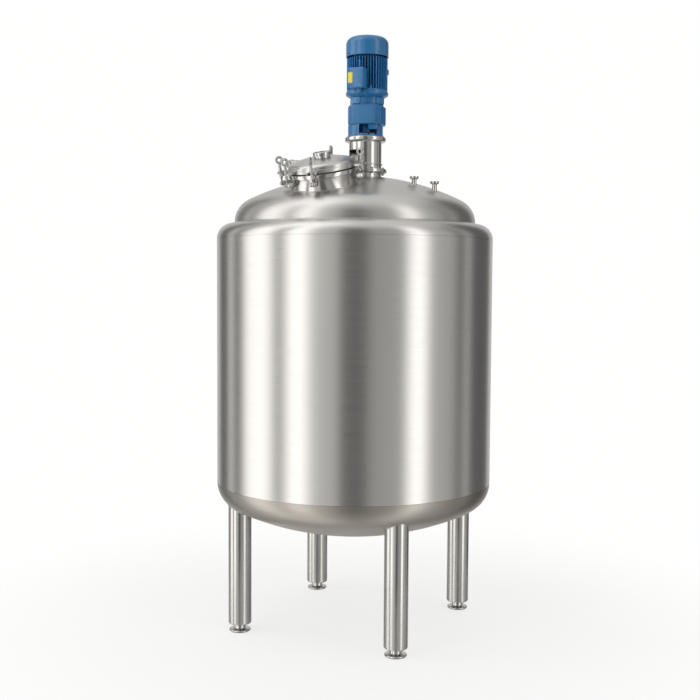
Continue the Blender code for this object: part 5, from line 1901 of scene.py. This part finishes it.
class TankColours(bpy.types.PropertyGroup):
    """Colours of the tank's finishes."""

    steel: colour_setting(
        "Steel", "Brushed and satin steel of the jacket, dome and legs", (0.60, 0.59, 0.57)
    )
    bright_steel: colour_setting(
        "Bright steel", "Polished steel of the fittings", (0.64, 0.625, 0.605)
    )
    blue: colour_setting("Blue", "Paint of the gearbox and the motor", (0.012, 0.158, 0.38))
    yellow: colour_setting("Yellow", "Plain plate on the terminal box", (0.85, 0.60, 0.04))
    black: colour_setting("Black", "Rubber and plastic parts", (0.02, 0.02, 0.02))


class TankSizes(bpy.types.PropertyGroup):
    """Sizes of the details that only the finished tank has."""

    weld: length_setting("Weld", "Radius of the welds on the dome", 0.004, 0.001, 0.010)
    bolt: length_setting(
        "Bolt heads", "Width across the flats of the flange bolts", 0.0135, 0.006, 0.020
    )
    screw: length_setting(
        "Small screws", "Radius of the small screw heads", 0.0028, 0.001, 0.006
    )
    pitch: length_setting(
        "Thread pitch", "Pitch of the thread on the swing bolts", 0.002, 0.001, 0.004
    )
    fin: length_setting(
        "Fin root", "Thickness of a cooling fin where it leaves the motor", 0.0060, 0.002,
        0.010,
    )
    fins: IntProperty(
        name="Fins", description="Number of cooling fins round the motor", default=44,
        min=12, max=80,
    )


class StudioSettings(bpy.types.PropertyGroup):
    """Light of the stage."""

    panels: light_setting("Panels", "Brightness of the soft panels and the ceiling", 1.0)
    paper: light_setting("Paper", "Brightness of the pale background", 1.0)
    key: light_setting("Key light", "Power of the soft light above, in watts", 30.0)


class TANK_OT_stage(bpy.types.Operator):
    """Set the pale floor, the soft light and the camera"""

    bl_idname = "tank.stage"
    bl_label = "Stage"

    def execute(self, context):
        build_stage(context.scene.tank_studio)
        return {"FINISHED"}


class TANK_OT_materials(bpy.types.Operator):
    """Make every finish of the tank"""

    bl_idname = "tank.materials"
    bl_label = "Materials"

    def execute(self, context):
        make_materials(context.scene.tank_colours)
        return {"FINISHED"}


class TANK_OT_jacket(bpy.types.Operator):
    """Model the jacket's wall, shoulder, dished bottom and weld"""

    bl_idname = "tank.jacket"
    bl_label = "Jacket"

    def execute(self, context):
        build_jacket_wall()
        build_jacket_shoulder()
        build_jacket_bottom()
        build_jacket_welds()
        return {"FINISHED"}


class TANK_OT_vessel(bpy.types.Operator):
    """Model the domed top and the inner vessel"""

    bl_idname = "tank.vessel"
    bl_label = "Vessel"

    def execute(self, context):
        build_top_head()
        build_vessel_body()
        return {"FINISHED"}


class TANK_OT_legs(bpy.types.Operator):
    """Model the four legs and their feet"""

    bl_idname = "tank.legs"
    bl_label = "Legs and feet"

    def execute(self, context):
        for number, name in enumerate(LEG_NAMES, 1):
            build_leg(name)
            build_foot(number)
        return {"FINISHED"}


class TANK_OT_manway(bpy.types.Operator):
    """Model the manway's neck, its ears, its hinge and its gasket"""

    bl_idname = "tank.manway"
    bl_label = "Manway"

    def execute(self, context):
        build_neck(context.scene.tank_sizes)
        build_clamp_ears()
        build_hinge()
        build_gasket()
        return {"FINISHED"}


class TANK_OT_cover(bpy.types.Operator):
    """Model the manway's cover with its forks, its arm and its sight port"""

    bl_idname = "tank.cover"
    bl_label = "Cover"

    def execute(self, context):
        sizes = context.scene.tank_sizes
        build_cover_dish(sizes)
        build_forks()
        build_cover_arm()
        build_sight_port(sizes)
        return {"FINISHED"}


class TANK_OT_clamps(bpy.types.Operator):
    """Model the five swing clamps"""

    bl_idname = "tank.clamps"
    bl_label = "Swing clamps"

    def execute(self, context):
        build_clamps(context.scene.tank_sizes)
        return {"FINISHED"}


class TANK_OT_nozzles(bpy.types.Operator):
    """Model the small nozzles and the outlet"""

    bl_idname = "tank.nozzles"
    bl_label = "Nozzles"

    def execute(self, context):
        sizes = context.scene.tank_sizes
        for number in range(1, SMALL_NOZZLES + 1):
            build_small_nozzle(number, sizes)
        build_outlet(sizes)
        return {"FINISHED"}


class TANK_OT_lantern(bpy.types.Operator):
    """Model the agitator nozzle, the lantern and the shaft seal"""

    bl_idname = "tank.lantern"
    bl_label = "Lantern"

    def execute(self, context):
        sizes = context.scene.tank_sizes
        build_agitator_nozzle(sizes)
        build_lantern(sizes)
        build_seal(sizes)
        return {"FINISHED"}


class TANK_OT_gearbox(bpy.types.Operator):
    """Model the gearbox and the ring that carries it"""

    bl_idname = "tank.gearbox"
    bl_label = "Gearbox"

    def execute(self, context):
        sizes = context.scene.tank_sizes
        build_gearbox_base(sizes)
        build_housing(sizes)
        return {"FINISHED"}


class TANK_OT_motor(bpy.types.Operator):
    """Model the motor with its adapter, its fins and its cowl"""

    bl_idname = "tank.motor"
    bl_label = "Motor"

    def execute(self, context):
        sizes = context.scene.tank_sizes
        build_adapter(sizes)
        build_end_shield(sizes)
        build_motor_frame(sizes)
        build_cowl(sizes)
        return {"FINISHED"}


class TANK_OT_terminal_box(bpy.types.Operator):
    """Model the terminal box, its blank plate and its gland"""

    bl_idname = "tank.terminal_box"
    bl_label = "Terminal box"

    def execute(self, context):
        build_terminal_box(context.scene.tank_sizes)
        build_blank_plate()
        build_gland()
        return {"FINISHED"}


class TANK_OT_rotor(bpy.types.Operator):
    """Model the agitator shaft and its impeller"""

    bl_idname = "tank.rotor"
    bl_label = "Rotor"

    def execute(self, context):
        build_shaft()
        build_impeller(context.scene.tank_sizes)
        return {"FINISHED"}


OPERATORS = (
    TANK_OT_stage, TANK_OT_materials, TANK_OT_jacket, TANK_OT_vessel, TANK_OT_legs,
    TANK_OT_manway, TANK_OT_cover, TANK_OT_clamps, TANK_OT_nozzles, TANK_OT_lantern,
    TANK_OT_gearbox, TANK_OT_motor, TANK_OT_terminal_box, TANK_OT_rotor,
)


class TANK_PT_tools(bpy.types.Panel):
    """Steps and settings of the mixing tank"""

    bl_idname = "TANK_PT_tools"
    bl_label = "Mixing Tank"
    bl_space_type = "VIEW_3D"
    bl_region_type = "UI"
    bl_category = "Tank"

    def draw(self, context):
        column = self.layout.column()
        scene = context.scene
        for group in (scene.tank_colours, scene.tank_sizes, scene.tank_studio):
            for key in group.__annotations__:
                column.prop(group, key)
        for step in OPERATORS:
            column.operator(step.bl_idname)


CLASSES = (TankColours, TankSizes, StudioSettings, *OPERATORS, TANK_PT_tools)


def register():
    """Register the add-on's classes and settings."""
    for item in CLASSES:
        bpy.utils.register_class(item)
    bpy.types.Scene.tank_colours = PointerProperty(type=TankColours)
    bpy.types.Scene.tank_sizes = PointerProperty(type=TankSizes)
    bpy.types.Scene.tank_studio = PointerProperty(type=StudioSettings)


def unregister():
    """Take the add-on's settings and classes away again."""
    del bpy.types.Scene.tank_studio
    del bpy.types.Scene.tank_sizes
    del bpy.types.Scene.tank_colours
    for item in reversed(CLASSES):
        bpy.utils.unregister_class(item)


def main():
    """Model the whole tank."""
    register()
    for step in OPERATORS:
        group, name = step.bl_idname.split(".")
        getattr(getattr(bpy.ops, group), name)()


if __name__ == "__main__":
    main()
